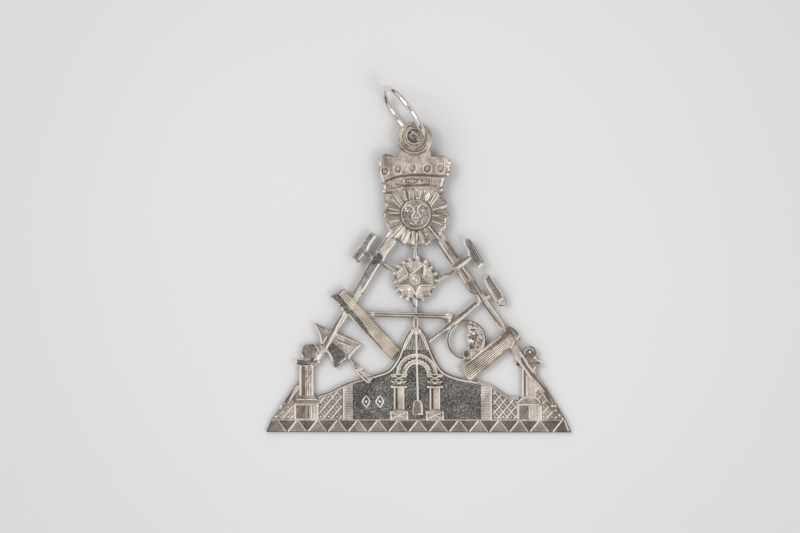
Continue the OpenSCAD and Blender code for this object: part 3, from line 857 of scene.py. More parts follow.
SATIN = Finish("satin_silver", amount=0.28)
# Brighter silver for raised lines, knobs and strips: partly rubbed high spots, partly painted highlight along
# edges that face the lamps.
RUBBED_AND_HIGHLIT = Finish(
    "rubbed_and_highlit_silver", rubbed=(1.0, 0.965, 0.915), tarnished=(0.44, 0.37, 0.32), warm=(0.94, 0.87, 0.79),
    rough=0.32, dull=0.12, amount=0.18)
PLAIN_BACK = Finish("plain_back", rough=0.38, amount=0.3)
# Dark raised lines that stand for cuts: their colour is partly tarnish in the cuts and partly painted shade
# of the cuts.
TARNISH_AND_SHADE_CUT = Finish(
    "tarnish_and_shade_cut", rubbed=(0.25, 0.215, 0.19), tarnished=(0.09, 0.075, 0.07), warm=(0.18, 0.15, 0.13), rough=0.5)
# Darker lines of the same kind: painted shade beside rims, in notches, in the eyelet's hole and down one side
# of each column shaft, over some tarnish in the real cuts.
DARK_SHADE_AND_TARNISH = Finish(
    "dark_shade_and_tarnish", rubbed=(0.13, 0.11, 0.09), tarnished=(0.05, 0.042, 0.035), warm=(0.10, 0.083, 0.066),
    rough=0.55, amount=0.3)
SOFT = Finish(
    "soft_silver", rubbed=(0.66, 0.60, 0.54), tarnished=(0.13, 0.105, 0.09), warm=(0.46, 0.39, 0.335),
    amount=0.32)
PALE_STIPPLED = Finish(
    "pale_stippled", rubbed=(0.50, 0.48, 0.43), tarnished=(0.13, 0.12, 0.105), warm=(0.36, 0.335, 0.285),
    work=Work.PUNCHED, pitch=0.32, depth=0.04, deep=0.5)
MATTED = Finish(
    "matted_ground", rubbed=(0.32, 0.306, 0.292), tarnished=(0.06, 0.057, 0.055), warm=(0.255, 0.23, 0.22),
    rough=0.45, amount=0.3, work=Work.PUNCHED, pitch=0.3, depth=0.05, deep=0.72)
DARK_PANEL = Finish(
    "dark_panel", rubbed=(0.45, 0.43, 0.41), tarnished=(0.11, 0.10, 0.095), warm=(0.33, 0.295, 0.275),
    rough=0.45, amount=0.3, work=Work.PUNCHED, pitch=0.32, depth=0.05, deep=0.5)
BROWN_PANEL = Finish(
    "brown_panel", rubbed=(0.53, 0.465, 0.41), tarnished=(0.12, 0.095, 0.08), warm=(0.38, 0.31, 0.26),
    rough=0.42, amount=0.4, work=Work.PUNCHED, pitch=0.34, deep=0.35)
UMBER_PANEL = Finish(
    "umber_panel", rubbed=(0.37, 0.32, 0.28), tarnished=(0.09, 0.072, 0.06), warm=(0.26, 0.21, 0.175),
    rough=0.45, work=Work.PUNCHED, pitch=0.32, deep=0.4)
FAN_LINES = Finish(
    "fan_lines", rubbed=(0.60, 0.575, 0.515), tarnished=(0.12, 0.11, 0.095), warm=(0.43, 0.395, 0.34),
    amount=0.4, work=Work.LINED, pitch=0.38, depth=0.05, deep=0.6)
BROWN_YELLOW = Finish("brown_yellow_silver", rubbed=(0.75, 0.68, 0.59), warm=(0.54, 0.45, 0.37))
LEVEL_LINES = Finish(
    "level_lines", rubbed=(0.78, 0.70, 0.63), warm=(0.54, 0.46, 0.395), work=Work.LINED, pitch=0.5,
    lines=90.0, amount=0.4, depth=0.04, deep=0.4)
UPRIGHT_LINES = Finish(
    "upright_lines", rubbed=(0.76, 0.69, 0.62), warm=(0.52, 0.43, 0.37), work=Work.LINED, amount=0.3,
    depth=0.06, deep=0.5)
BROWN_HATCHED = Finish(
    "brown_hatched", rubbed=(0.68, 0.60, 0.535), tarnished=(0.12, 0.095, 0.08), warm=(0.50, 0.41, 0.35),
    work=Work.LINED, pitch=0.3, deep=0.3)
CLOUDED = Finish(
    "clouded_silver", rubbed=(0.82, 0.74, 0.66), tarnished=(0.16, 0.13, 0.10), warm=(0.48, 0.40, 0.33),
    amount=0.4)
BAND_GROUND = Finish(
    "band_ground", rubbed=(0.23, 0.20, 0.185), tarnished=(0.07, 0.06, 0.056), warm=(0.17, 0.145, 0.13),
    rough=0.45, work=Work.PUNCHED, pitch=0.3, depth=0.04, deep=0.4)
YELLOWED = Finish("yellowed_silver", rubbed=(0.94, 0.87, 0.76), warm=(0.70, 0.60, 0.47), amount=0.25)
PALE_GREEN = Finish("pale_green_silver", rubbed=(0.60, 0.60, 0.54), warm=(0.45, 0.44, 0.38))
STEEP_LINES = Finish(
    "steep_lines", rubbed=(0.50, 0.46, 0.42), warm=(0.34, 0.29, 0.26), work=Work.LINED, lines=31.0,
    amount=0.4, depth=0.06, deep=0.6)
DULL_LINES = Finish(
    "dull_lines", rubbed=(0.46, 0.415, 0.38), warm=(0.32, 0.27, 0.24), work=Work.LINED, pitch=0.32,
    lines=90.0, amount=0.4, depth=0.04, deep=0.4)
SLANT_LINES = Finish(
    "slant_lines", rubbed=(0.80, 0.74, 0.68), work=Work.LINED, pitch=0.42, lines=28.0, amount=0.4, depth=0.06,
    deep=0.6)
POLISHED = Finish(
    "polished_wire", rubbed=(0.92, 0.89, 0.84), tarnished=(0.30, 0.26, 0.22), warm=(0.80, 0.75, 0.69),
    rough=0.06, amount=0.15)


@dataclass(frozen=True)
class Lines:
    """Raised lines on the plate, cut by hand.

    Args:
        paths: the lines, in millimetres.
        width: their width.
        level: height of what they lie on.
        finish: their finish.
        rise: how far they stand above it, as a share of their width.
    """

    paths: Sequence[Path]
    width: float
    level: float
    finish: Finish = RUBBED_AND_HIGHLIT
    rise: float = 0.3


@dataclass(frozen=True)
class Studs:
    """Small domes on the plate.

    Args:
        places: their middles, in millimetres.
        radius: their radius.
        level: height of what they lie on.
        high: how far they stand above it.
        finish: their finish.
    """

    places: Path
    radius: float
    level: float
    high: float = 0.15
    finish: Finish = RUBBED_AND_HIGHLIT


Panels = Sequence[tuple[Finish, Path]]
Item = tuple[Shell, Finish] | Lines | Studs


@dataclass(kw_only=True)
class Traced:
    """Lines and small panels of an emblem.

    Args:
        bright: width and paths of the bright raised lines; their brightness is partly painted highlight.
        dark: width and paths of the dark raised lines that stand for cuts; their darkness is partly painted
            shade.
        panels: finish and outline of each small panel.
        dots: radius and middles of small raised dots.
        level: height of the face that they lie on.
    """

    bright: Strokes = ()
    dark: Strokes = ()
    panels: Panels = ()
    dots: Dots = ()
    level: float = FACE

    def traced(self, middle: Point = (0.0, 0.0)) -> list[Item]:
        """Makes the lines and panels.

        Args:
            middle: the place from which their points are measured.

        Returns:
            Items for the emblem's piece.
        """
        top = self.level
        items: list[Item] = [
            (slab([moved(outline, middle)], low=0.5, high=top + 0.02, edge=0.02), finish)
            for finish, outline in self.panels]
        # Bright lines carry painted highlights and dark lines carry painted shade, besides the raised and cut
        # lines of the emblem.
        for finish, rise, groups in ((RUBBED_AND_HIGHLIT, 0.3, self.bright), (TARNISH_AND_SHADE_CUT, 0.15, self.dark)):
            items += [
                Lines(
                    [flow(moved(path, middle), steps=3) for path in paths], width=width, level=top + 0.05,
                    finish=finish, rise=rise)
                for width, paths in groups]
        return items + [
            Studs(moved(places, middle), radius=radius, level=top + 0.02, high=radius * 0.7)
            for radius, places in self.dots]


class Grower:
    """Builds the geometry node trees and grows lines, studs and the ring with them."""

    def __init__(self) -> None:
        """Builds each tree once."""
        self.lines = self.lines_tree()
        self.studs = self.studs_tree()
        self.ring = self.ring_tree()

    @staticmethod
    def lines_tree() -> bpy.types.NodeTree:
        """Raised lines along edges: roof-shaped, and a little uneven as cut by hand.

        Returns:
            The tree.
        """
        g = shape_group(
            "raised_lines",
            [("Width", FLOAT, 0.0004), ("Height", FLOAT, 0.0001), ("Step", FLOAT, 0.0005),
             ("Wobble", FLOAT, 0.00002), ("Seed", FLOAT, 7.0)])
        s = g.source
        curve = g.out("GeometryNodeMeshToCurve", {"Mesh": s["Geometry"]})
        even = g.out("GeometryNodeResampleCurve", {"Curve": curve, "Length": s["Step"]}, mode="LENGTH")
        place = g.out("GeometryNodeInputPosition")
        noise = g.add(
            "ShaderNodeTexNoise", {"Vector": place, "W": s["Seed"], "Scale": 900.0},
            noise_dimensions="4D").outputs[1]
        about = g.out("ShaderNodeVectorMath", {0: noise, 1: (0.5, 0.5, 0.5)}, operation="SUBTRACT")
        sway = g.out("ShaderNodeVectorMath", {0: about, "Scale": s["Wobble"]}, operation="SCALE")
        swayed = g.out("GeometryNodeSetPosition", {"Geometry": even, "Offset": sway})
        level = g.out("GeometryNodeSetCurveNormal", {"Curve": swayed}, mode="Z_UP")
        roof = g.out("GeometryNodeCurvePrimitiveCircle", {"Resolution": 4, "Radius": 1.0}, mode="RADIUS")
        half = g.maths("MULTIPLY", s["Width"], 0.5)
        size = g.out("ShaderNodeCombineXYZ", {0: half, 1: s["Height"], 2: 1.0})
        profile = g.out("GeometryNodeTransform", {"Geometry": roof, "Scale": size})
        swept = g.out(
            "GeometryNodeCurveToMesh", {"Curve": level, "Profile Curve": profile, "Fill Caps": True})
        g.close(swept, s["Finish"])
        return g.tree

    @staticmethod
    def studs_tree() -> bpy.types.NodeTree:
        """A small dome at each point.

        Returns:
            The tree.
        """
        g = shape_group("set_studs", [("Radius", FLOAT, 0.0002), ("Height", FLOAT, 0.0002)])
        s = g.source
        ball = g.out("GeometryNodeMeshUVSphere", {"Segments": 12, "Rings": 8, "Radius": 1.0})
        size = g.out("ShaderNodeCombineXYZ", {0: s["Radius"], 1: s["Radius"], 2: s["Height"]})
        set_out = g.out(
            "GeometryNodeInstanceOnPoints", {"Points": s["Geometry"], "Instance": ball, "Scale": size})
        g.close(set_out, s["Finish"])
        return g.tree

    @staticmethod
    def ring_tree() -> bpy.types.NodeTree:
        """A jump ring: wire bent round, with its two ends butted.

        Returns:
            The tree.
        """
        g = shape_group(
            "bent_ring",
            [("Radius", FLOAT, 0.006), ("Wire", FLOAT, 0.0006), ("Gap", FLOAT, 0.01), ("Start", FLOAT, 0.0)])
        s = g.source
        sweep = g.maths("SUBTRACT", 2 * math.pi, s["Gap"])
        line = g.out(
            "GeometryNodeCurveArc",
            {"Resolution": 240, "Radius": s["Radius"], "Start Angle": s["Start"], "Sweep Angle": sweep},
            mode="RADIUS")
        wire = g.out(
            "GeometryNodeCurvePrimitiveCircle", {"Resolution": 40, "Radius": s["Wire"]}, mode="RADIUS")
        swept = g.out("GeometryNodeCurveToMesh", {"Curve": line, "Profile Curve": wire, "Fill Caps": True})
        g.close(swept, s["Finish"])
        return g.tree

    @staticmethod
    def grow(tree: bpy.types.NodeTree, seeds: bpy.types.Mesh, values: dict[str, object]) -> bpy.types.Mesh:
        """Runs a tree and keeps the result as a plain mesh.

        Args:
            tree: the tree.
            seeds: the mesh that it starts from, which is used up.
            values: the value of each of its named inputs.

        Returns:
            The mesh.
        """
        carrier = placed("carrier", seeds)
        modifier = carrier.modifiers.new("grow", "NODES")
        modifier.node_group = tree
        for item in tree.interface.items_tree:
            if item.item_type == "SOCKET" and item.in_out == "INPUT" and item.name in values:
                modifier[item.identifier] = values[item.name]
        graph = bpy.context.evaluated_depsgraph_get()
        mesh = bpy.data.meshes.new_from_object(carrier.evaluated_get(graph), depsgraph=graph)
        bpy.data.objects.remove(carrier)
        bpy.data.meshes.remove(seeds)
        return mesh


class Casting:
    """Closed forms that become one piece."""

    def __init__(self) -> None:
        """Starts with nothing."""
        self.points: list[np.ndarray] = []
        self.faces: list[tuple[int, ...]] = []
        self.kinds: list[int] = []
        self.marks: list[np.ndarray] = []
        self.finishes: list[Finish] = []
        self.total = 0

    def kind(self, finish: Finish) -> int:
        """Number of a finish in this piece.

        Args:
            finish: the finish.

        Returns:
            Its place in the piece's list of materials.
        """
        if finish not in self.finishes:
            self.finishes.append(finish)
        return self.finishes.index(finish)

    def add(
            self, points: np.ndarray, faces: Sequence[tuple[int, ...]], kinds: Sequence[int],
            marks: np.ndarray) -> None:
        """Adds a form.

        Args:
            points: its points, in millimetres of the flat plate.
            faces: point numbers of its faces.
            kinds: number of the finish of each face.
            marks: the hollow mark of each point.
        """
        self.faces += [tuple(number + self.total for number in face) for face in faces]
        self.kinds += kinds
        self.points.append(points)
        self.marks.append(marks)
        self.total += len(points)

    def mesh(self, name: str, place: Callable[[np.ndarray], np.ndarray]) -> bpy.types.Mesh:
        """Makes the mesh.

        Args:
            name: its name.
            place: turns the points into places in the frame.

        Returns:
            The mesh, with its faces outwards, its finishes and its hollow marks.
        """
        made = bpy.data.meshes.new(name)
        made.from_pydata(place(np.concatenate(self.points)).tolist(), [], self.faces)
        for finish in self.finishes:
            made.materials.append(finish.material())
        made.polygons.foreach_set("material_index", self.kinds)
        made.attributes.new("hollow", "FLOAT", "POINT").data.foreach_set("value", np.concatenate(self.marks))
        outward(made)
        return made


@dataclass
class Bench:
    """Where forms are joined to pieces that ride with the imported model.

    Args:
        seat: how the plate lies.
        grower: the geometry node trees.
        back_step: each piece's back lies this much higher than the one before, in millimetres.
        unevenness: how far the casting strays from true, in millimetres.
        true_below: height below which it is true, in millimetres.
        made: how many pieces of the plate there are.
    """

    seat: Seat
    grower: Grower
    back_step: float = 0.003
    unevenness: float = 0.02
    true_below: float = 0.3
    made: int = 0

    def stray(self, points: np.ndarray) -> np.ndarray:
        """Moves points a little up or down, as hand casting does.

        Args:
            points: the points, in millimetres.

        Returns:
            The moved points, with nothing below this piece's back.
        """
        x, y, z = points.T
        sway = (
            np.sin(1.7 * x + 0.6 * y + 0.4) + np.sin(2.3 * y - 1.1 * x + 1.9) + np.sin(3.9 * x + 3.1 * y)) / 3
        lift = self.back_step * self.made
        high = np.where(z > self.true_below, z + self.unevenness * sway, np.maximum(z, lift))
        return np.stack([x, y, high], 1)

    def grown(self, casting: Casting, mesh: bpy.types.Mesh, finish: Finish) -> None:
        """Moves a grown mesh into a casting.

        Args:
            casting: what it goes into.
            mesh: the mesh, which is used up.
            finish: its finish.
        """
        faces = [tuple(face.vertices) for face in mesh.polygons]
        kinds = [casting.kind(finish)] * len(faces)
        casting.add(points_of(mesh) / MM, faces, kinds, np.zeros(len(mesh.vertices)))
        bpy.data.meshes.remove(mesh)

    def draw(self, casting: Casting, lines: Lines) -> None:
        """Grows raised lines into a casting.

        Args:
            casting: what they go into.
            lines: the lines.
        """
        seeds = bpy.data.meshes.new("seeds")
        points, edges = [], []
        for path in lines.paths:
            edges += [(len(points) + i, len(points) + i + 1) for i in range(len(path) - 1)]
            points += [(x * MM, y * MM, lines.level * MM) for x, y in path]
        seeds.from_pydata(points, edges, [])
        values = {
            "Width": lines.width * MM, "Height": lines.width * lines.rise * MM,
            "Finish": lines.finish.material()}
        self.grown(casting, self.grower.grow(self.grower.lines, seeds, values), lines.finish)

    def stud(self, casting: Casting, studs: Studs) -> None:
        """Grows studs into a casting.

        Args:
            casting: what they go into.
            studs: the studs.
        """
        seeds = bpy.data.meshes.new("seeds")
        seeds.from_pydata([(x * MM, y * MM, studs.level * MM) for x, y in studs.places], [], [])
        values = {"Radius": studs.radius * MM, "Height": studs.high * MM, "Finish": studs.finish.material()}
        self.grown(casting, self.grower.grow(self.grower.studs, seeds, values), studs.finish)

    def piece(self, name: str, *items: Item) -> bpy.types.Object:
        """Joins forms, lines and studs to one piece of the plate.

        Args:
            name: the piece's name.
            items: pairs of a shell and its finish, lines, or studs.

        Returns:
            The piece.
        """
        casting = Casting()
        for item in items:
            if isinstance(item, Lines):
                self.draw(casting, item)
            elif isinstance(item, Studs):
                self.stud(casting, item)
            else:
                shell, finish = item
                kinds = [casting.kind(finish)] * shell.front
                kinds += [casting.kind(PLAIN_BACK)] * (len(shell.faces) - shell.front)
                casting.add(shell.points, shell.faces, kinds, shell.hollow)
        mesh = casting.mesh(name, lambda points: self.seat.lay(self.stray(points)))
        self.made += 1
        return self.hand_over(name, mesh, PLATE_NODE, "plate_silver")

    @staticmethod
    def hand_over(name: str, mesh: bpy.types.Mesh, node: str, slot: str) -> bpy.types.Object:
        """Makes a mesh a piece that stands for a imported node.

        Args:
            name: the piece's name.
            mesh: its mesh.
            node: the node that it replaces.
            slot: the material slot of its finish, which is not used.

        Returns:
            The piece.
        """
        piece = placed(name, mesh)
        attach(piece, "root")
        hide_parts(node)
        log.info("%s: %d faces", name, len(mesh.polygons))
        return piece


class Emblem(Protocol):
    """Anything that can be built on a bench."""

    def build(self, bench: Bench) -> None:
        """Builds it."""


def circle(middle: Point, radius: float, count: int = 64) -> list[Point]:
    """Points of a circle, from its right side and anticlockwise."""
    return [around(middle, radius, a) for a in np.linspace(0, 2 * math.pi, count, endpoint=False)]


def arc(middle: Point, radius: float, start: float, end: float, count: int = 40) -> list[Point]:
    """Points of an arc between two angles in degrees."""
    return [around(middle, radius, a) for a in np.linspace(math.radians(start), math.radians(end), count)]


def kept(start: Point, end: Point, inside: Inside, step: float = 0.08, least: int = 4) -> list[list[Point]]:
    """Stretches of a straight line that lie inside a field.

    Args:
        start: where the line starts.
        end: where it ends.
        inside: whether a place lies in the field.
        step: how finely the line is tried, in millimetres.
        least: how many steps a stretch has at least.

    Returns:
        The stretches, each as its two ends.
    """
    count = max(2, int(math.dist(start, end) / step))
    places = [
        (start[0] + (end[0] - start[0]) * k / count, start[1] + (end[1] - start[1]) * k / count)
        for k in range(count + 1)]
    stretches, run = [], []
    for place in places + [None]:
        if place is not None and inside(*place):
            run.append(place)
            continue
        if len(run) > least:
            stretches.append([run[0], run[-1]])
        run = []
    return stretches


def beside(line: Path, by: float) -> list[Point]:
    """Runs alongside a line.

    Args:
        line: the line.
        by: how far to its left.

    Returns:
        The line beside it.
    """
    way = np.gradient(np.array(line), axis=0)
    way /= np.linalg.norm(way, axis=1)[:, None]
    return [(float(x - by * v), float(y + by * u)) for (x, y), (u, v) in zip(line, way)]


def lattice(
        left: float, right: float, foot: float, inside: Inside, pitch: float = 1.62, high: float = 9.0,
        slope: float = 1.2, room: float = 0.25) -> tuple[list[list[Point]], list[list[Point]], list[Point]]:
    """Diamond lattice in a field, with a place for a stud in each diamond.

    Args:
        left: left end of the field.
        right: right end of the field.
        foot: lower end of the field.
        inside: whether a place lies in the field.
        pitch: distance between the bars across.
        high: height of the field.
        slope: how steeply the bars rise and fall.
        room: what a stud needs on each side.

    Returns:
        The bars that rise to the right, those that fall, and the places.
    """
    rising, falling = [], []
    for x in np.arange(left - high, right + high, pitch):
        rising += kept((x, foot), (x + high / slope, foot + high), inside)
        falling += kept((x + high / slope, foot), (x, foot + high), inside)
    spots = []
    shift = (high / slope) % pitch
    for row in range(int(2 * high / (pitch * slope)) + 1):
        y = foot + row * pitch * slope / 2
        for x in np.arange(left - high, right + high, pitch):
            spot = (x + ((row + 1) % 2) * pitch / 2 + shift / 2, y + pitch * slope * (shift / pitch) / 2)
            if inside(spot[0] - room, spot[1] - room) and inside(spot[0] + room, spot[1] + room):
                spots.append(spot)
    return rising, falling, spots


def column_back(t: np.ndarray, rise: float) -> np.ndarray:
    """Rise of a round back at a place across, from -1 to 1."""
    return rise * np.sqrt(np.clip(1 - t * t, 0, 1))


def flat_back(t: np.ndarray, s: np.ndarray) -> np.ndarray:
    """Relief of a flat bar with soft lengthwise marks and raised sides."""
    marks = 0.025 * np.cos(t * 15 + np.sin(s)) * np.sin(s * 1.3 + 4 * t)
    return FACE - 0.04 + 0.05 * ridge(np.abs(t) - 0.84, 0.3) + marks


def handle_back(t: np.ndarray, s: np.ndarray) -> np.ndarray:
    """Relief of a handle: round, with a few cuts along it."""
    return FACE - 0.1 + column_back(t, 0.16) + 0.03 * np.cos(t * 12 + s) + 0.02 * np.sin(s * 5)


@dataclass
class BaseBand:
    """Band along the base, with bright zigzag lines between light and dark triangles.

    Args:
        half: half its length.
        high: its height.
        pitch: distance between the points of the zigzag.
        first: place of the first upper point.
        points: number of upper points.
        last: how much further along the last upper point lies.
        trim: how far its ground stands out above it, and its triangles keep inside.
        rising: width of the lines that rise to the right.
        falling: width of the lines that fall to the right.
        flat: how far the lines keep from the points.
    """

    half: float = 30.0
    high: float = 2.4
    pitch: float = 3.97
    first: float = -27.85
    points: int = 15
    last: float = 0.55
    trim: float = 0.15
    rising: float = 0.27
    falling: float = 0.17
    flat: float = 0.2

    def build(self, bench: Bench) -> None:
        """Builds the band.

        Args:
            bench: where its piece is made.
        """
        outline = [
            (-self.half, 0), (self.half, 0), (self.half - 0.5, 1.2), (self.half - 1.1, self.high + self.trim),
            (-self.half + 1.1, self.high + self.trim), (-self.half + 0.5, 1.2)]
        tops = [self.first + k * self.pitch for k in range(self.points)]
        tops[-1] += self.last
        half, flat = self.pitch / 2, self.flat
        low, up = self.trim, self.high - self.trim
        light = [
            slab([[(x - half + flat, low), (x + half - flat, low), (x, up)]], low=0.4, high=FACE, edge=0.03)
            for x in tops[:-1]]
        rising = [[(x - half + flat, low), (x - 0.1, up)] for x in tops[1:]]
        rising.append([(self.half - 1.3, self.high), (self.half - 0.5, 0.3)])
        falling = [[(x + flat, up), (x + half - flat, low)] for x in tops[:-1]]
        rail = self.half - 1.25
        bench.piece(
            "base_band", (slab([outline], low=BACK, high=FACE - 0.05), BAND_GROUND),
            *((form, DULL_LINES) for form in light), Lines(rising, width=self.rising, level=FACE),
            Lines(falling, width=self.falling, level=FACE),
            Lines([[(-rail, self.high), (rail, self.high)]], width=0.2, level=FACE, finish=SATIN))


@dataclass
class Mound:
    """The hill behind the arch, with its raised edge, piers and lattice.

    Args:
        left_edge: left edge, going up.
        right_edge: right edge, going down.
        piers: left and right side of each brick pier.
        lattices: left and right side of each lattice.
        foot: height of its foot.
        fan: lowest and highest part of the fluted peak.
        rim: width of the raised edge.
        lozenges: middles of the two small ornaments.
        lozenge: half their width and half their height.
        finial: left and right end of the short bar on the peak.
        knobs: middles of the two knobs on it.
        steps: heights of the points of the lines beside the fan.
    """

    left_edge: Path = (
        (-19.9, 6.9), (-17.3, 7.8), (-14.9, 9.0), (-12.5, 9.9), (-8.9, 10.9), (-6.0, 11.9), (-4.9, 13.0),
        (-3.8, 14.7), (-3.3, 16.0), (-2.6, 17.8), (-1.7, 19.4), (-1.2, 20.0))
    right_edge: Path = (
        (0.2, 20.1), (1.1, 19.2), (1.8, 17.5), (3.0, 14.5), (4.6, 12.0), (6.9, 10.8), (9.4, 10.2),
        (12.2, 9.7), (14.3, 9.0), (16.7, 7.4), (17.8, 6.7), (19.8, 6.7))
    piers: Path = ((-14.7, -12.9), (12.3, 14.2))
    lattices: Path = ((-19.7, -15.0), (14.6, 19.4))
    foot: float = 2.4
    fan: Point = (16.15, 19.6)
    rim: float = 0.66
    lozenges: Path = ((-10.3, 6.0), (-7.6, 6.0))
    lozenge: Point = (0.8, 1.25)
    finial: Path = ((-1.35, 19.95), (0.5, 19.95))
    knobs: Path = ((-1.2, 19.8), (0.35, 19.8))
    steps: Sequence[float] = (16.15, 17.2, 18.6, 19.6)

    def top(self, x: float) -> float:
        """Height of the outline at a place across."""
        line = [*self.left_edge, *self.right_edge]
        return float(np.interp(x, [p[0] for p in line], [p[1] for p in line]))

    def side(self, y: float, edge: Path) -> float:
        """Place across of one edge at a height."""
        return float(across_at(sorted(edge, key=lambda p: p[1]), y))

    def pier(self, left: float, right: float) -> Shell:
        """A pier of bricks up to the raised edge.

        Args:
            left: place of its left side.
            right: place of its right side.

        Returns:
            The closed form.
        """
        return slab(
            [[(left, self.foot), (right, self.foot), (right, self.top(right) - 0.2),
              (left, self.top(left) - 0.2)]],
            low=0.4, high=FACE - 0.04, edge=0.03)

    def fluted_peak(self) -> Shell:
        """The fluted fan under the peak.

        Returns:
            The closed form.
        """
        low, high = self.fan
        left, right = (
            [(self.side(y, edge), y) for y in (low, low + 1.2, low + 2.4, high)]
            for edge in (self.left_edge, self.right_edge))

        def flutes(x: np.ndarray, y: np.ndarray) -> np.ndarray:
            """Height of the flutes, which run together towards the peak."""
            a, b = across_at(left, y), across_at(right, y)
            return FACE - 0.1 + 0.13 * np.abs(np.sin(math.pi * 8 * (x - a) / (b - a)))

        return spanned(left, right, flutes, count=(24, 97), edge=0.05, back=0.4)

    def build(self, bench: Bench) -> None:
        """Builds the mound.

        Args:
            bench: where its piece is made.
        """
        left, right = flow(self.left_edge), flow(self.right_edge)
        outline = [(left[0][0], 1.2), *left, *right, (right[-1][0], 1.2)]
        rising, falling, spots = [], [], []
        for from_x, to_x in self.lattices:
            def inside(x: float, y: float, a: float = from_x, b: float = to_x) -> bool:
                """Whether a place lies in this lattice."""
                return a < x < b and self.foot + 0.1 < y < self.top(x) - 0.35
            up, down, places = lattice(from_x, to_x, foot=self.foot, inside=inside)
            rising, falling, spots = rising + up, falling + down, spots + places
        fields = [
            slab(
                [[(a, self.foot), (b, self.foot)] + [(x, self.top(x) - 0.3) for x in (b, (a + b) / 2, a)]],
                low=0.4, high=GROUND + 0.03, edge=0.03)
            for a, b in self.lattices]
        seams = [[(x, self.foot), (x, self.top(x) - 0.2)] for x in (self.piers[0][0], self.piers[1][1] + 0.1)]
        rims = [
            bar(line, [self.rim] * len(line), lambda t, s: FACE - 0.04 + 0 * t, across=5, step=0.3, edge=0.05)
            for line in (left, right)]
        clear, bare = self.piers[0][1] + 3.6, self.piers[1][0] - 0.7
        # Bright lines along the inside of the raised edge are painted highlights; the dark lines just outside
        # it are painted shadow of the edge.
        inner = [
            [p for p in beside(left, by=-0.17) if p[0] > clear],
            [p for p in beside(right, by=-0.17) if p[0] < bare]]
        outer = [beside(left, by=0.16), [p for p in beside(right, by=0.16) if p[0] < bare]]
        wide, tall = self.lozenge
        marks = [
            closed([(x - wide, y), (x, y + tall), (x + wide, y), (x, y - tall)]) for x, y in self.lozenges]
        edges = [
            [(self.side(y, edge) + side, y) for y in self.steps]
            for edge, side in ((self.left_edge, 0.5), (self.right_edge, -0.5))]
        bench.piece(
            "mound", (slab([outline], low=BACK, high=GROUND), MATTED), (self.fluted_peak(), FAN_LINES),
            *((pier, LEVEL_LINES) for pier in (self.pier(*p) for p in self.piers)),
            *((field, DARK_PANEL) for field in fields), *((rim, SOFT) for rim in rims),
            Lines(seams, width=0.32, level=FACE), Lines(rising, width=0.22, level=GROUND + 0.06),
            Studs(spots, radius=0.2, level=GROUND, high=0.14, finish=SATIN),
            Lines(
                [path for path in falling if path[0][0] < 0], width=0.17, level=GROUND + 0.06, finish=SATIN),
            Lines([path for path in falling if path[0][0] > 0], width=0.19, level=GROUND + 0.06),
            Lines(inner, width=0.22, level=FACE + 0.02), Lines(edges, width=0.24, level=FACE + 0.06),
            Lines(outer, width=0.2, level=FACE + 0.02, finish=DARK_SHADE_AND_TARNISH, rise=0.1),
            Lines(marks, width=0.26, level=GROUND + 0.04),
            Studs(self.lozenges, radius=0.24, level=GROUND, high=0.14),
            Lines([self.finial], width=0.5, level=FACE + 0.05, finish=SATIN),
            Studs(self.knobs, radius=0.32, level=FACE, high=0.24))


@dataclass
class Corner:
    """Latticed corner between a pillar, a leg and the base.

    Args:
        name: its name.
        outline: its outline.
        lean: lines along its outer side.
        edge: places of the bright dots along its lower outer side.
        foot: height of its foot.
        clear: what its lattice keeps from the foot.
    """

    name: str
    outline: Path
    lean: Path
    edge: Path
    foot: float = 2.4
    clear: float = 0.2

    def inside(self, x: float, y: float) -> bool:
        """Whether a place lies well inside the outline.

        Args:
            x: place across.
            y: place up.

        Returns:
            True if it does.
        """
        odd = False
        for (ax, ay), (bx, by) in zip(self.outline, closed(self.outline)[1:]):
            if (ay > y) != (by > y) and x < (bx - ax) * (y - ay) / (by - ay) + ax:
                odd = not odd
        return odd and y > self.foot + self.clear

    def build(self, bench: Bench) -> None:
        """Builds the corner.

        Args:
            bench: where its piece is made.
        """
        across = [p[0] for p in self.outline]
        rising, falling, spots = lattice(min(across), max(across), foot=self.foot, inside=self.inside)
        bench.piece(
            self.name, (slab([self.outline], low=BACK, high=GROUND + 0.05), BROWN_PANEL),
            Lines(rising, width=0.2, level=GROUND + 0.08),
            Lines(falling, width=0.16, level=GROUND + 0.08, finish=SATIN),
            Studs(spots, radius=0.2, level=GROUND + 0.05, high=0.12, finish=SATIN),
            Lines([self.lean], width=0.3, level=FACE - 0.05, finish=TARNISH_AND_SHADE_CUT),
            Lines([[(x * 0.98, y - 0.15) for x, y in self.lean]], width=0.3, level=FACE - 0.08),
            Studs(self.edge, radius=0.26, level=FACE - 0.15, high=0.2))


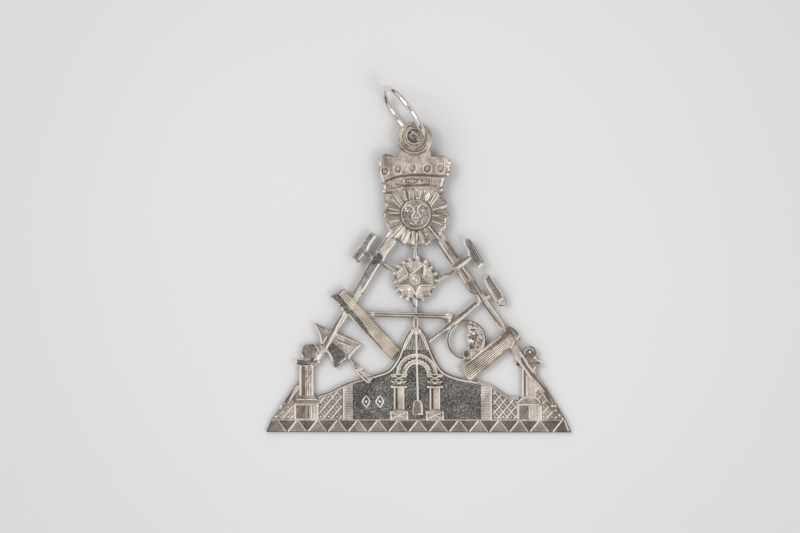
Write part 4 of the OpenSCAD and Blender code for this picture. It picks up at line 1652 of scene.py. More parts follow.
@dataclass
class Arch:
    """Round arch: a wavy dark line between bright edges, and a wavy bright line inside it.

    Args:
        middle: middle of its circles.
        outer: outer radius.
        inner: inner radius.
        groove: radius of the wavy dark line.
        swing: how far it swings to each side.
        waves: number of its waves.
        rings: radius, width and finish of the plain lines.
        beside: distance from the dark line, width and finish of the wavy lines beside it.
    """

    middle: Point = (-0.3, 11.4)
    outer: float = 4.08
    inner: float = 1.97
    groove: float = 3.12
    swing: float = 0.2
    waves: int = 12
    rings: Sequence[tuple[float, float, Finish]] = ((3.92, 0.22, RUBBED_AND_HIGHLIT), (2.12, 0.24, RUBBED_AND_HIGHLIT))
    beside: Sequence[tuple[float, float, Finish]] = ((-0.42, 0.24, RUBBED_AND_HIGHLIT), (0.34, 0.14, SATIN))

    def relief(self, t: np.ndarray, s: np.ndarray) -> np.ndarray:
        """Height of the arch across and along its band.

        Args:
            t: places across the band, from -1 to 1.
            s: places along it, in millimetres.

        Returns:
            The heights, in millimetres.
        """
        turn = 2 * math.pi * s * self.waves / (math.pi * (self.outer + self.inner) / 2)
        outer, inner = 0.5 + 0.5 * np.cos(turn), 0.5 + 0.5 * np.sin(turn)
        beads = ridge(t + 0.42, 0.6) * outer + ridge(t - 0.55, 0.5) * inner
        return FACE + 0.01 + 0.05 * beads

    def ring(self, radius: float, swing: float = 0.0) -> list[Point]:
        """A line round the arch, wavy or plain.

        Args:
            radius: its radius, in millimetres.
            swing: how far it swings to each side.

        Returns:
            Its points.
        """
        return [
            around(self.middle, radius + swing * math.sin(2 * self.waves * a), a)
            for a in np.linspace(math.pi + 0.03, -0.03, 150)]

    def build(self, bench: Bench) -> None:
        """Builds the arch.

        Args:
            bench: where its piece is made.
        """
        line = arc(self.middle, (self.outer + self.inner) / 2, 184, -4)
        width = self.outer - self.inner
        shell = bar(line, [width] * len(line), self.relief, across=45, step=0.06, edge=0.06)
        bench.piece(
            "arch", (shell, SOFT),
            *(
                Lines([self.ring(radius)], width=wide, level=FACE + 0.06, finish=finish)
                for radius, wide, finish in self.rings),
            Lines(
                [self.ring(self.groove, self.swing)], width=0.3, level=FACE + 0.1, finish=DARK_SHADE_AND_TARNISH,
                rise=0.12),
            *(
                Lines([self.ring(self.groove + by, self.swing)], width=wide, level=FACE + 0.07, finish=finish)
                for by, wide, finish in self.beside))


@dataclass
class Column:
    """Column with a capital of two tiers of leaves and a crossed plinth.

    Args:
        name: its name.
        x: place of its middle.
        foot: height of its foot.
        head: height of its head.
        shaft: width of the shaft.
        wide: width of the plinth.
        capital: half widths of the capital and how far each lies below the head.
        tall: height of the plinth.
        tiers: ridges of the two tiers of leaves on the capital's right half.
        leaf_lines: raised lines of the capital's right half, from the middle of its head.
        leaf_cuts: dark lines for the cuts between them, partly painted shade.
    """

    name: str
    x: float
    foot: float = 2.3
    head: float = 11.45
    shaft: float = 2.0
    wide: float = 3.65
    capital: Path = (
        (0.95, 2.45), (1.1, 2.0), (1.55, 1.42), (1.5, 1.3), (0.72, 1.12), (1.3, 0.5), (1.72, 0.1),
        (1.72, 0.0))
    tall: float = 2.0
    tiers: Sequence[Path] = (
        ((0.25, -1.1), (0.8, -0.6), (1.6, -0.08)), ((0.0, -1.05), (0.0, -0.2)), ((0.0, -0.16), (1.5, -0.12)),
        ((0.3, -2.0), (0.8, -1.8), (1.45, -1.38)), ((0.0, -1.9), (0.35, -1.3), (0.75, -1.15)),
        ((0.45, -0.45), (0.95, -0.3)))
    leaf_lines: Sequence[Path] = (
        ((1.6, -0.12), (1.2, -0.7), (0.7, -0.35), (0.0, -0.95)),
        ((1.45, -1.38), (1.1, -1.75), (0.7, -1.4), (0.0, -1.95)), ((0.0, -0.1), (1.2, -0.14)),
        ((1.3, -2.42), (0.9, -2.56), (0.0, -2.66)), ((0.4, -1.0), (0.9, -1.15)))
    leaf_cuts: Sequence[Path] = (
        ((0.0, -0.4), (0.45, -0.34)), ((0.0, -1.35), (0.4, -1.2)), ((0.5, -0.85), (0.95, -0.85)),
        ((0.0, -2.34), (1.1, -2.22)), ((0.5, -1.75), (0.85, -1.65)))

    def leaves(self, x: np.ndarray, y: np.ndarray) -> np.ndarray:
        """Relief of the capital: two tiers of pointed leaves.

        Args:
            x: places across, in millimetres.
            y: places up, in millimetres.

        Returns:
            The heights, in millimetres.
        """
        across, up = np.abs(x - self.x), y - self.head
        leaf = np.zeros_like(x)
        for path in self.tiers:
            leaf = np.maximum(leaf, stroke(across, up, path, 0.32))
        return FACE - 0.06 + 0.2 * leaf**0.7

    def crossed(self, x: np.ndarray, y: np.ndarray) -> np.ndarray:
        """Relief of the plinth: a sunk field between two upright borders.

        Args:
            x: places across, in millimetres.
            y: places up, in millimetres.

        Returns:
            The heights, in millimetres.
        """
        half, high = self.wide / 2, self.foot + self.tall - 0.2
        sunken = np.clip((half - 0.42 - np.abs(x - self.x)) / 0.08, 0, 1)
        level = np.maximum(ridge(y - high, 0.3), ridge(y - high + 0.62, 0.2))
        return FACE + 0.1 - 0.14 * sunken + 0.1 * level + 0.05 * np.sin(9 * x + 4 * y) * sunken

    @staticmethod
    def round_back(t: np.ndarray, s: np.ndarray) -> np.ndarray:
        """Relief of the shaft: a soft back with fine upright marks."""
        return FACE - 0.04 + column_back(t, 0.08) + 0.015 * np.cos(t * 30)

    def upright(self, across: float, low: float, high: float) -> list[Point]:
        """An upright line at a distance from the column's middle."""
        return [(self.x + across, low), (self.x + across, high)]

    def build(self, bench: Bench) -> None:
        """Builds the column.

        Args:
            bench: where its piece is made.
        """
        half, neck, step = self.wide / 2, self.head - self.capital[0][1], self.foot + self.tall
        shaft = bar(
            self.upright(0, step - 0.1, neck + 0.1), [self.shaft, self.shaft], self.round_back, across=49)
        left, right = (
            [(self.x + side * w, self.head - down) for w, down in self.capital] for side in (-1, 1))
        capital = spanned(left, right, self.leaves, count=(56, 60), edge=0.05)
        plinth = spanned(
            self.upright(-half, self.foot - 0.1, step), self.upright(half, self.foot - 0.1, step),
            self.crossed, count=(40, 60), edge=0.05)
        collars = [
            bar(
                [(self.x - wide / 2, y - drop), (self.x, y), (self.x + wide / 2, y - drop)], [thick] * 3,
                lambda t, s: FACE + 0.1 + 0.16 * ridge(t - 0.35, 1.0) - 0.1 * ridge(t + 0.7, 0.4))
            for y, wide, thick, drop in ((neck, 2.7, 0.62, 0.1), (step + 0.12, 2.2, 0.4, 0.0))]
        knobs = Studs(
            [(self.x + side * 1.38, neck - 0.1) for side in (-1, 1)], radius=0.26, level=FACE + 0.08,
            high=0.2)
        # Bright lines along both edges of the shaft: painted highlights.
        edges = [self.upright(side * (self.shaft / 2 - 0.12), step, neck) for side in (-1, 1)]
        sides = [self.upright(side * (half - 0.22), self.foot + 0.1, step - 0.1) for side in (-1, 1)]
        near, low, high = half - 0.5, self.foot + 0.35, step - 0.4
        cross = [[(self.x - near, low), (self.x + near, high)], [(self.x - near, high), (self.x + near, low)]]
        # Dark line down the left part of the shaft: painted shade of the round shaft.
        groove = [self.upright(-0.48, step + 0.2, neck - 0.25)]
        leaves, cuts = (
            [[(self.x + side * u, self.head + v) for u, v in path] for side in (-1, 1) for path in paths]
            for paths in (self.leaf_lines, self.leaf_cuts))
        bench.piece(
            self.name, (shaft, SOFT), (capital, SOFT), (plinth, SOFT),
            *((collar, SOFT) for collar in collars), knobs, Lines(edges, width=0.28, level=FACE + 0.08),
            Lines(groove, width=0.42, level=FACE + 0.06, finish=DARK_SHADE_AND_TARNISH, rise=0.1),
            Lines(sides, width=0.3, level=FACE + 0.1), Lines(cross, width=0.2, level=FACE + 0.05),
            Lines(leaves, width=0.22, level=FACE + 0.2),
            Lines(cuts, width=0.24, level=FACE + 0.24, finish=DARK_SHADE_AND_TARNISH, rise=0.1))


@dataclass
class PlumbLine:
    """Line and bob that hang from the mound's peak.

    Args:
        top: upper end of the line.
        eye: where the line meets the bob.
        half: half the bob's width.
        foot: height of the bob's foot.
        crown: height of the bob's top.
        shape: half widths and heights of the bob, as shares.
        border: width of the bob's border on the left and on the right.
        inset: what the dark field keeps from the bob's left and right side.
        ledge: what it keeps from the foot and from the top.
    """

    top: Point = (-0.4, 19.9)
    eye: Point = (-0.1, 6.2)
    half: float = 1.05
    foot: float = 3.35
    crown: float = 6.3
    shape: Path = ((1.0, 0.0), (1.0, 0.3), (0.95, 0.6), (0.82, 0.85), (0.55, 0.97), (0.3, 1.0))
    border: Point = (0.2, 0.46)
    inset: Point = (0.24, 0.5)
    ledge: Point = (0.26, 0.29)

    def bucket(self, x: np.ndarray, y: np.ndarray) -> np.ndarray:
        """Relief of the bob: a raised border round a sunk field.

        Args:
            x: places across, in millimetres.
            y: places up, in millimetres.

        Returns:
            The heights, in millimetres.
        """
        up = (y - self.foot) / (self.crown - self.foot)
        half = self.half * across_at(self.shape, up)
        across = x - self.eye[0]
        border = np.where(across < 0, *self.border)
        gap = np.minimum(half - np.abs(across), np.minimum(y - self.foot, self.crown - y) + 0.05)
        return FACE + 0.16 - 0.24 * np.clip((gap - border) / 0.12, 0, 1)

    def build(self, bench: Bench) -> None:
        """Builds the line and the bob.

        Args:
            bench: where its piece is made.
        """
        cx = self.eye[0]
        rise = self.crown - self.foot
        bob = spanned(
            [(cx - w * self.half, self.foot + u * rise) for w, u in self.shape],
            [(cx + w * self.half, self.foot + u * rise) for w, u in self.shape], self.bucket, count=(52, 48),
            edge=0.1)
        field = [
            (cx + (w * self.half - keep) * side, self.foot + self.ledge[0] + u * (rise - sum(self.ledge)))
            for side, keep, part in (
                (1, self.inset[1], self.shape[:-1]), (-1, self.inset[0], self.shape[-2::-1]))
            for w, u in part]
        cord = bar(
            [self.top, self.eye], [0.36, 0.36], lambda t, s: FACE + 0.16 + 0 * t, across=5, step=0.6,
            edge=0.02)
        bench.piece(
            "plumb_line", (bob, SATIN), (cord, SATIN),
            Lines([[self.top, self.eye]], width=0.36, level=FACE + 0.16),
            (slab([field], low=0.8, high=FACE + 0.13, edge=0.02), UMBER_PANEL))


@dataclass
class Pillar(Traced):
    """Pillar on a pedestal, with a globe or a bud on top.

    Args:
        name: its name.
        shaft: left and right side of the shaft.
        die: left and right side of the pedestal.
        moulding: outline of the moulding.
        head: height of the shaft's head.
        abacus: left and right end of the slab on the shaft.
        globe: middle of the globe.
        radius: radius of the globe.
        leaves: outline of the leaves beside the globe.
        lift: height of the top plate's middle above the head.
        lined: finish of the shaft and the die.
    """

    name: str
    shaft: Point
    die: Point
    moulding: Path
    head: float
    abacus: Point
    globe: Point
    radius: float
    leaves: Path
    lift: float
    lined: Finish

    def ball(self, x: np.ndarray, y: np.ndarray, radius: np.ndarray, angle: np.ndarray) -> np.ndarray:
        """Relief of the globe: a low ball with a curl cut into it.

        Args:
            x: places across, in millimetres.
            y: places up, in millimetres.
            radius: distances from the middle, in millimetres.
            angle: directions from the middle, in radians.

        Returns:
            The heights, in millimetres.
        """
        ball = np.sqrt(np.clip(1 - (radius / self.radius) ** 2, 0, 1))
        curl = np.cos(2.6 * math.pi * radius / self.radius - angle)
        return FACE - 0.1 + 0.22 * ball + 0.08 * curl * np.clip(radius / self.radius, 0, 1)

    def build(self, bench: Bench) -> None:
        """Builds the pillar.

        Args:
            bench: where its piece is made.
        """
        middle, width = sum(self.shaft) / 2, self.shaft[1] - self.shaft[0]
        low, high = self.moulding[0][1], max(p[1] for p in self.moulding)
        shaft = bar([(middle, high - 0.15), (middle, self.head + 0.1)], [width, width], flat_back, across=41)
        die = slab(
            [[(self.die[0], 2.2), (self.die[1], 2.2), (self.die[1], low), (self.die[0], low)]], low=BACK,
            high=FACE + 0.02)
        cap = slab([self.moulding], low=BACK, high=FACE + 0.06, edge=0.1)
        y = self.head + self.lift
        top = bar(
            [(self.abacus[0], y), (self.abacus[1], y)], [0.75, 0.75],
            lambda t, s: FACE - 0.04 + 0.1 * ridge(t - 0.6, 0.7) - 0.12 * ridge(t + 0.1, 0.5))
        ball = medal(
            self.globe, lambda a: self.radius * (1 + 0.05 * np.cos(5 * a + 1)), self.ball, count=(20, 72))
        neck = bar(
            [(middle, self.head + 0.3), self.globe], [1.5, 1.3],
            lambda t, s: FACE - 0.1 + column_back(t, 0.14) + 0.04 * np.sin(9 * t) * np.cos(6 * s))
        bench.piece(
            self.name, (shaft, self.lined), (die, self.lined), (cap, BROWN_PANEL), (top, UMBER_PANEL),
            (ball, UMBER_PANEL), (neck, BROWN_PANEL),
            (slab([self.leaves], low=BACK, high=FACE - 0.05), BROWN_PANEL), *self.traced())


@dataclass
class Leg(Traced):
    """Leg of the compasses.

    Args:
        name: its name.
        stretches: middle line and widths of each stretch, from the top down.
        finishes: finish of each stretch.
    """

    name: str
    stretches: Sequence[tuple[Path, Sequence[float]]]
    finishes: Sequence[Finish]

    def build(self, bench: Bench) -> None:
        """Builds the leg.

        Args:
            bench: where its piece is made.
        """
        forms = [
            (bar(line, widths, flat_back, across=29, edge=0.08), finish)
            for (line, widths), finish in zip(self.stretches, self.finishes)]
        bench.piece(self.name, *forms, *self.traced())


@dataclass
class Rule(Traced):
    """Fluted rule: flutes along one part and a dark strip along the other.

    Args:
        name: its name.
        line: middle line, two points.
        widths: width at both ends.
        flutes: number of flutes.
        strip: lower and upper side of the dark strip across, from -1 to 1.
        taper: share of the length past which the dark strip has run out.
        finishes: finish of the flutes and of the strip.
        flap: outline of a flap at its upper end.
    """

    name: str
    line: Path
    widths: Point
    flutes: int
    strip: Point
    taper: float
    finishes: tuple[Finish, Finish]
    flap: Path = ()

    def strip_side(self, share: np.ndarray) -> np.ndarray:
        """Upper side of the dark strip across, at a share of the length."""
        low, high = self.strip
        return high - (high - low) * np.clip(share / self.taper, 0, 1) ** 3.5

    def relief(self, t: np.ndarray, s: np.ndarray) -> np.ndarray:
        """Height across and along the rule.

        Args:
            t: places across the band, from -1 to 1.
            s: places along it, in millimetres.

        Returns:
            The heights, in millimetres.
        """
        low = self.strip[0]
        sunken = (t > low) & (t < self.strip_side(s / math.dist(*self.line)))
        flute = np.abs(np.sin(math.pi * self.flutes * (t - low) / 2)) ** 0.6
        rim = 0.08 * np.clip(1 - np.abs(np.abs(t) - 0.94) / 0.08, 0, 1)
        return FACE - 0.1 + np.where(sunken, 0.0, 0.16 * flute) + rim

    def build(self, bench: Bench) -> None:
        """Builds the rule.

        Args:
            bench: where its piece is made.
        """
        body = bar(self.line, self.widths, self.relief, across=101, edge=0.05)
        (ax, ay), (bx, by) = self.line
        length = math.dist(*self.line)
        nx, ny = -(by - ay) / length, (bx - ax) / length
        half = self.widths[0] / 2
        shares = np.array([0.02, 0.2, 0.35, 0.5, 0.6, 0.8]) * self.taper / 0.8
        sides = self.strip_side(shares) - 0.03
        corners = [(u, self.strip[0] + 0.03) for u in shares] + list(zip(shares[::-1], sides[::-1]))[1:]
        panel = [(ax + u * (bx - ax) + t * half * nx, ay + u * (by - ay) + t * half * ny) for u, t in corners]
        flutes, strip = self.finishes
        items = [(body, flutes), (slab([panel], low=0.5, high=FACE + 0.03, edge=0.02), strip)]
        if self.flap:
            items.append((slab([self.flap], low=BACK, high=FACE - 0.03), BROWN_PANEL))
        bench.piece(self.name, *items, *self.traced())


@dataclass
class Hammer(Traced):
    """Mallet, gavel or maul: a head on a handle.

    Args:
        name: its name.
        head: outline of the head.
        face: outline of the worked face on the head.
        worked: finish of that face.
        handles: middle line and widths of each stretch of the handle.
        ring: middle and radius of a round end, or None.
    """

    name: str
    head: Path
    face: Path
    worked: Finish
    handles: Sequence[tuple[Path, Sequence[float]]]
    ring: tuple[Point, float] | None = None

    def build(self, bench: Bench) -> None:
        """Builds the hammer.

        Args:
            bench: where its piece is made.
        """
        items = [(bar(line, widths, handle_back, across=17), SOFT) for line, widths in self.handles]
        items.append((slab([self.head], low=BACK, high=FACE + 0.02, edge=0.1), SOFT))
        items.append((slab([self.face], low=0.6, high=FACE + 0.05, edge=0.02), self.worked))
        if self.ring:
            middle, radius = self.ring
            end = medal(
                middle, lambda a: radius + 0 * a,
                lambda x, y, r, a: FACE - 0.02 + 0.04 * ridge(r - radius * 0.78, 0.3), count=(24, 64))
            items.append((end, SOFT))
        bench.piece(self.name, *items, *self.traced())


@dataclass
class Trowel(Traced):
    """Trowel with a hatched blade, a tang, a crossed collar and a handle.

    Args:
        blade: outline of the blade.
        worked: outline of the hatched part.
        tang: middle line of the tang.
        handle: middle line of the handle.
        widths: widths of the tang and of the handle along their lines.
        collar: both ends of each bar of the collar.
    """

    blade: Path = (
        (-20.4, 21.5), (-18.0, 20.3), (-16.0, 19.6), (-13.6, 18.7), (-11.1, 17.3), (-13.6, 14.6),
        (-16.3, 12.6), (-16.6, 12.8), (-17.1, 14.4), (-18.1, 16.0), (-19.0, 17.2), (-19.5, 19.4))
    worked: Path = ((-16.3, 19.4), (-13.6, 18.4), (-11.6, 17.3), (-13.6, 15.0), (-15.2, 16.6), (-16.9, 17.8))
    tang: Path = ((-13.8, 14.9), (-13.0, 13.9), (-11.9, 12.7))
    handle: Path = ((-11.9, 12.2), (-10.9, 11.1), (-9.5, 9.8))
    widths: Sequence[Sequence[float]] = ((0.9, 0.8, 0.7), (0.8, 1.3, 1.0))
    collar: Sequence[Path] = (((-12.4, 12.0), (-11.0, 12.9)), ((-11.7, 12.9), (-11.2, 11.6)))
    bright: Strokes = (
        (0.36,
         (((-20.3, 21.1), (-19.4, 19.3), (-19.0, 17.4)), ((-18.3, 16.2), (-17.3, 15.2), (-16.9, 13.9)),
          ((-11.3, 17.2), (-12.2, 16.4), (-13.7, 14.8)))),
        (0.26,
         (((-12.05, 11.75), (-10.9, 10.6), (-10.0, 9.75)), ((-11.3, 12.95), (-11.1, 12.4), (-11.6, 12.1)))),
        (0.2,
         (((-14.2, 14.6), (-15.4, 13.6)), ((-16.2, 19.3), (-11.6, 17.4)), ((-15.9, 18.6), (-14.6, 18.0)),
          ((-15.3, 17.6), (-13.3, 16.7)), ((-14.9, 16.9), (-13.8, 16.3)))))
    dark: Strokes = (
        (0.3,
         (((-13.4, 14.6), (-12.1, 13.0)), ((-11.75, 11.85), (-10.6, 10.75), (-9.85, 10.0)),
          ((-12.4, 12.55), (-11.7, 12.3)), ((-16.6, 12.9), (-15.6, 13.4)))),
        (0.16,
         (((-16.0, 18.3), (-13.2, 17.1)), ((-15.7, 17.2), (-14.0, 16.3)), ((-20.1, 21.2), (-18.3, 20.3)))))
    panels: Panels = (
        (MATTED,
         ((-17.9, 16.9), (-17.0, 17.6), (-15.2, 16.3), (-14.3, 15.2), (-16.3, 13.0), (-16.8, 14.5),
          (-17.4, 15.8))),
        (BROWN_HATCHED, ((-11.0, 12.2), (-9.2, 11.0), (-9.0, 10.3), (-9.7, 9.9), (-10.4, 10.8))))

    def build(self, bench: Bench) -> None:
        """Builds the trowel.

        Args:
            bench: where its piece is made.
        """
        tang = bar(self.tang, self.widths[0], handle_back, across=17)
        handle = bar(self.handle, self.widths[1], handle_back)
        bench.piece(
            "trowel", (slab([self.blade], low=BACK, high=FACE - 0.04), BROWN_PANEL),
            (slab([self.worked], low=0.5, high=FACE - 0.01, edge=0.03), SLANT_LINES), (tang, SATIN),
            (handle, SATIN), Lines(self.collar, width=0.45, level=FACE + 0.05, finish=SATIN), *self.traced())


@dataclass
class Moon(Traced):
    """Thin ring with a face in profile on its right side.

    Args:
        middle: middle of the ring.
        radius: outer radius.
        wall: width of the ring.
        profile: the face's outline from chin to brow, from the middle.
        swells: its cheek, nose and brow, and its hollows, from the middle.
    """

    middle: Point = (9.4, 18.1)
    radius: float = 3.9
    wall: float = 0.66
    profile: Path = (
        (-0.5, -3.75), (-0.75, -3.1), (-0.3, -2.5), (0.55, -2.0), (0.75, -1.2), (0.45, -0.5), (0.0, 0.35),
        (0.2, 1.0), (0.45, 1.5), (0.4, 2.2), (0.65, 3.1), (0.5, 3.8))
    swells: Swells = (
        (0.14, (1.3, -0.9), (0.7, 0.9)), (0.2, (1.0, -0.2), (0.45, 0.35)), (0.16, (1.5, 1.6), (0.5, 0.24)),
        (-0.2, (1.3, 0.8), (0.9, 0.4)), (-0.16, (1.2, -1.1), (0.4, 0.5)), (-0.14, (1.2, 2.7), (0.5, 0.4)))
    dark: Strokes = (
        (0.42,
         (((10.3, 21.3), (10.8, 21.0)), ((11.6, 21.0), (11.7, 21.0)), ((10.3, 20.15), (11.2, 20.1)),
          ((11.4, 19.4), (11.6, 18.9)))),
        (0.16,
         (((11.9, 18.4), (12.5, 18.1), (12.7, 17.4)), ((11.6, 17.7), (12.3, 17.3), (12.4, 16.6)),
          ((11.4, 16.9), (12.0, 16.4)), ((12.0, 19.4), (12.6, 19.2)), ((11.3, 16.0), (11.7, 15.6)))))
    panels: Panels = (
        (MATTED, ((8.9, 15.0), (9.1, 15.9), (9.8, 16.1), (10.1, 15.4), (9.6, 14.7))),
        (MATTED,
         ((9.75, 18.8), (11.4, 18.9), (11.55, 18.3), (11.2, 17.4), (11.0, 16.5), (10.1, 16.4), (10.2, 17.2),
          (10.75, 17.95), (10.4, 18.5), (9.9, 18.4))))
    bright: Strokes = (
        (0.2,
         (((8.8, 15.1), (8.75, 14.8), (9.2, 14.4)), ((9.85, 21.1), (9.95, 20.4)),
          ((10.0, 20.5), (11.0, 20.5), (12.1, 20.4)), ((9.8, 18.3), (9.8, 17.9), (10.1, 17.4)),
          ((10.9, 18.1), (10.7, 17.5)), ((11.7, 16.0), (12.5, 17.0), (12.9, 18.2)))),)
    dots: Dots = (
        (0.34, ((10.9, 19.4),)), (0.26, ((10.0, 17.8), (10.5, 18.0))), (0.2, ((9.95, 16.6), (12.4, 18.5))))
    level: float = FACE + 0.08

    def relief(self, x: np.ndarray, y: np.ndarray) -> np.ndarray:
        """Relief of the face: cheek, eye, nose, lips and locks of hair.

        Args:
            x: places across, in millimetres.
            y: places up, in millimetres.

        Returns:
            The heights, in millimetres.
        """
        u, v = x - self.middle[0], y - self.middle[1]
        far = np.hypot(u, v)
        locks = 0.05 * np.sin(34 * np.arctan2(v, u) + 4.0 * far) * np.clip((far - 1.9) / 0.5, 0, 1)
        return FACE - 0.06 + swollen(u, v, self.swells) + locks

    def build(self, bench: Bench) -> None:
        """Builds the moon.

        Args:
            bench: where its piece is made.
        """
        cx, cy = self.middle
        outer, inner, high = self.radius, self.radius - self.wall, FACE + 0.02
        waist = (outer + inner) / 2
        section = (
            (outer, 0.1), (outer, high - 0.12), (outer - 0.12, high), (waist + 0.08, high - 0.05),
            (waist, high - 0.22), (waist - 0.08, high - 0.05), (inner + 0.12, high), (inner, high - 0.12),
            (inner, 0.1), (inner + 0.1, 0), (outer - 0.1, 0))
        ring = turned([(cx, cy, radius, z) for radius, z in section], spokes=96, front=8)
        edge = [(cx + math.sqrt(max(outer**2 - p[1] ** 2, 0)) - 0.08, cy + p[1]) for p in self.profile]
        left = moved(self.profile, self.middle)
        right = [(max(a[0] + 0.3, b[0]), b[1]) for a, b in zip(left, edge)]
        face = spanned(left, right, self.relief, count=(100, 70), edge=0.1)
        walls = [
            Lines([arc(self.middle, inner + 0.12, 120, 255)], width=0.2, level=FACE + 0.02),
            Lines(
                [arc(self.middle, (inner + outer) / 2, 125, 262)], width=0.24, level=FACE + 0.04,
                finish=TARNISH_AND_SHADE_CUT, rise=0.1),
            Lines([arc(self.middle, outer - 0.1, 140, 265)], width=0.14, level=FACE + 0.02),
            Lines([arc(self.middle, outer - 0.3, -50, 60)], width=0.2, level=FACE + 0.04)]
        bench.piece("moon", (ring, SOFT), (face, CLOUDED), *walls, *self.traced())


@dataclass
class Star(Traced):
    """Toothed disc: a flat five-armed star between raised pads, with a plain boss.

    Args:
        middle: its middle.
        radius: radius over the teeth.
        valley: radius between the teeth.
        teeth: number of teeth.
        arm: radius of the star.
        waist: radius of the star between its arms.
        boss: radius of the boss.
        stray: how far the teeth stray from even places, as a share of a tooth.
    """

    middle: Point = (-0.6, 30.0)
    radius: float = 4.8
    valley: float = 4.0
    teeth: int = 17
    arm: float = 4.5
    waist: float = 1.55
    boss: float = 0.72
    stray: float = 0.12
    bright: Strokes = (
        (0.42,
         (((1.95, 2.9), (1.85, 1.6), (1.75, 0.85)), ((-1.3, -1.15), (-0.5, -1.85), (0.0, -2.9)),
          ((0.95, -1.15), (0.5, -2.2), (0.25, -3.1)))),
        (0.22,
         (((-2.2, 2.75), (-1.4, 1.2)), ((-1.35, 1.05), (-3.2, -0.3)), ((-3.6, -1.1), (-1.3, -1.15)),
          ((3.5, -1.05), (1.0, -1.15)), ((1.9, 3.1), (0.2, 1.75), (-1.0, 0.8)))),
        (0.4, (((0.35, -4.0), (0.1, -5.1)),)))
    dark: Strokes = (
        (0.16, (((-2.0, 2.6), (-1.2, 1.2)), ((1.6, 2.6), (1.5, 1.0)), ((-0.3, -1.9), (-0.1, -3.4)))),)
    level: float = FACE + 0.06

    def outline(self, angle: np.ndarray) -> np.ndarray:
        """Radius of the toothed rim at an angle.

        Args:
            angle: directions from the middle, in radians.

        Returns:
            The radii, in millimetres.
        """
        turn = (angle + math.pi / 2) * self.teeth / (2 * math.pi) + self.stray * np.sin(3 * angle)
        tip = np.abs((turn % 1) * 2 - 1)
        return self.valley + (self.radius - self.valley) * tip**1.6 * (0.8 + 0.2 * np.sin(5 * angle + 1))

    def reach(self, angle: np.ndarray) -> np.ndarray:
        """Radius of the five-armed star at an angle.

        Args:
            angle: directions from the middle, in radians.

        Returns:
            The radii, in millimetres.
        """
        part = math.pi / 5
        turn = np.abs((angle + math.pi / 2 + part) % (2 * part) - part)
        cos, sin = math.cos(part), math.sin(part)
        slant = self.waist * sin * np.cos(turn) + (self.arm - self.waist * cos) * np.sin(turn)
        return self.arm * self.waist * sin / slant

    def relief(self, x: np.ndarray, y: np.ndarray, radius: np.ndarray, angle: np.ndarray) -> np.ndarray:
        """Relief of the disc: pads that stand above the star's place, and teeth.

        Args:
            x: places across, in millimetres.
            y: places up, in millimetres.
            radius: distances from the middle, in millimetres.
            angle: directions from the middle, in radians.

        Returns:
            The heights, in millimetres.
        """
        out = radius - self.reach(angle)
        pads = 0.2 * np.clip(out / 0.12, 0, 1) * np.clip((self.valley + 0.1 - radius) / 0.5, 0, 1)
        mottle = 0.06 * np.sin(5.1 * x + 3 * np.sin(2.2 * y)) * (out > 0.2)
        mottle = mottle * np.sin(6.3 * y + 2 * np.sin(3.1 * x))
        turn = (angle + math.pi / 2) * self.teeth + 0.75 * np.sin(3 * angle)
        teeth = 0.16 * np.cos(turn) * np.clip((radius - self.valley + 0.4) / 0.5, 0, 1)
        return FACE - 0.1 + pads + mottle + teeth

    def build(self, bench: Bench) -> None:
        """Builds the star.

        Args:
            bench: where its piece is made.
        """
        disc = medal(self.middle, self.outline, self.relief, count=(72, 480), edge=0.08)
        mx, my = self.middle
        corners = [
            around(self.middle, r, a)
            for r, a in ((self.waist if k % 2 else self.arm, (k / 5 - 0.5) * math.pi) for k in range(10))]
        ring = circle(self.middle, self.boss + 0.2, count=32)
        # Bright lines near the tooth tips are painted highlights; dark lines in the notches are painted
        # shade.
        tip_highlights, notch_shades = [], []
        for tooth in range(self.teeth):
            angle = tooth / self.teeth * 2 * math.pi - math.pi / 2
            angle -= self.stray * math.sin(3 * angle) * 2 * math.pi / self.teeth
            reach = float(self.outline(np.array([angle]))[0])
            for lines, turn, inner, outer in (
                    (tip_highlights, 0.03, reach - 0.75, reach - 0.2),
                    (notch_shades, math.pi / self.teeth, self.valley - 0.65, self.valley - 0.12)):
                a = angle + turn
                lines.append([around(self.middle, r, a) for r in (inner, outer)])
        # Dark lines from each arm tip towards the middle: painted shade along the arm's fold.
        fold_shades = [
            [corner, (mx + 0.35 * (corner[0] - mx), my + 0.35 * (corner[1] - my))] for corner in corners[::2]]
        bench.piece(
            "star", (disc, SOFT), (slab([corners], low=0.5, high=FACE - 0.02, edge=0.03), PALE_STIPPLED),
            Lines([closed(corners)], width=0.15, level=FACE + 0.03),
            Lines(fold_shades, width=0.14, level=FACE - 0.02, finish=TARNISH_AND_SHADE_CUT),
            Lines([closed(ring)], width=0.2, level=FACE + 0.03), *self.traced(self.middle),
            Lines(tip_highlights, width=0.4, level=FACE + 0.02),
            Lines(notch_shades, width=0.28, level=FACE + 0.02, finish=DARK_SHADE_AND_TARNISH, rise=0.12),
            Studs([self.middle], radius=self.boss, level=FACE - 0.02, high=0.2, finish=CLOUDED))


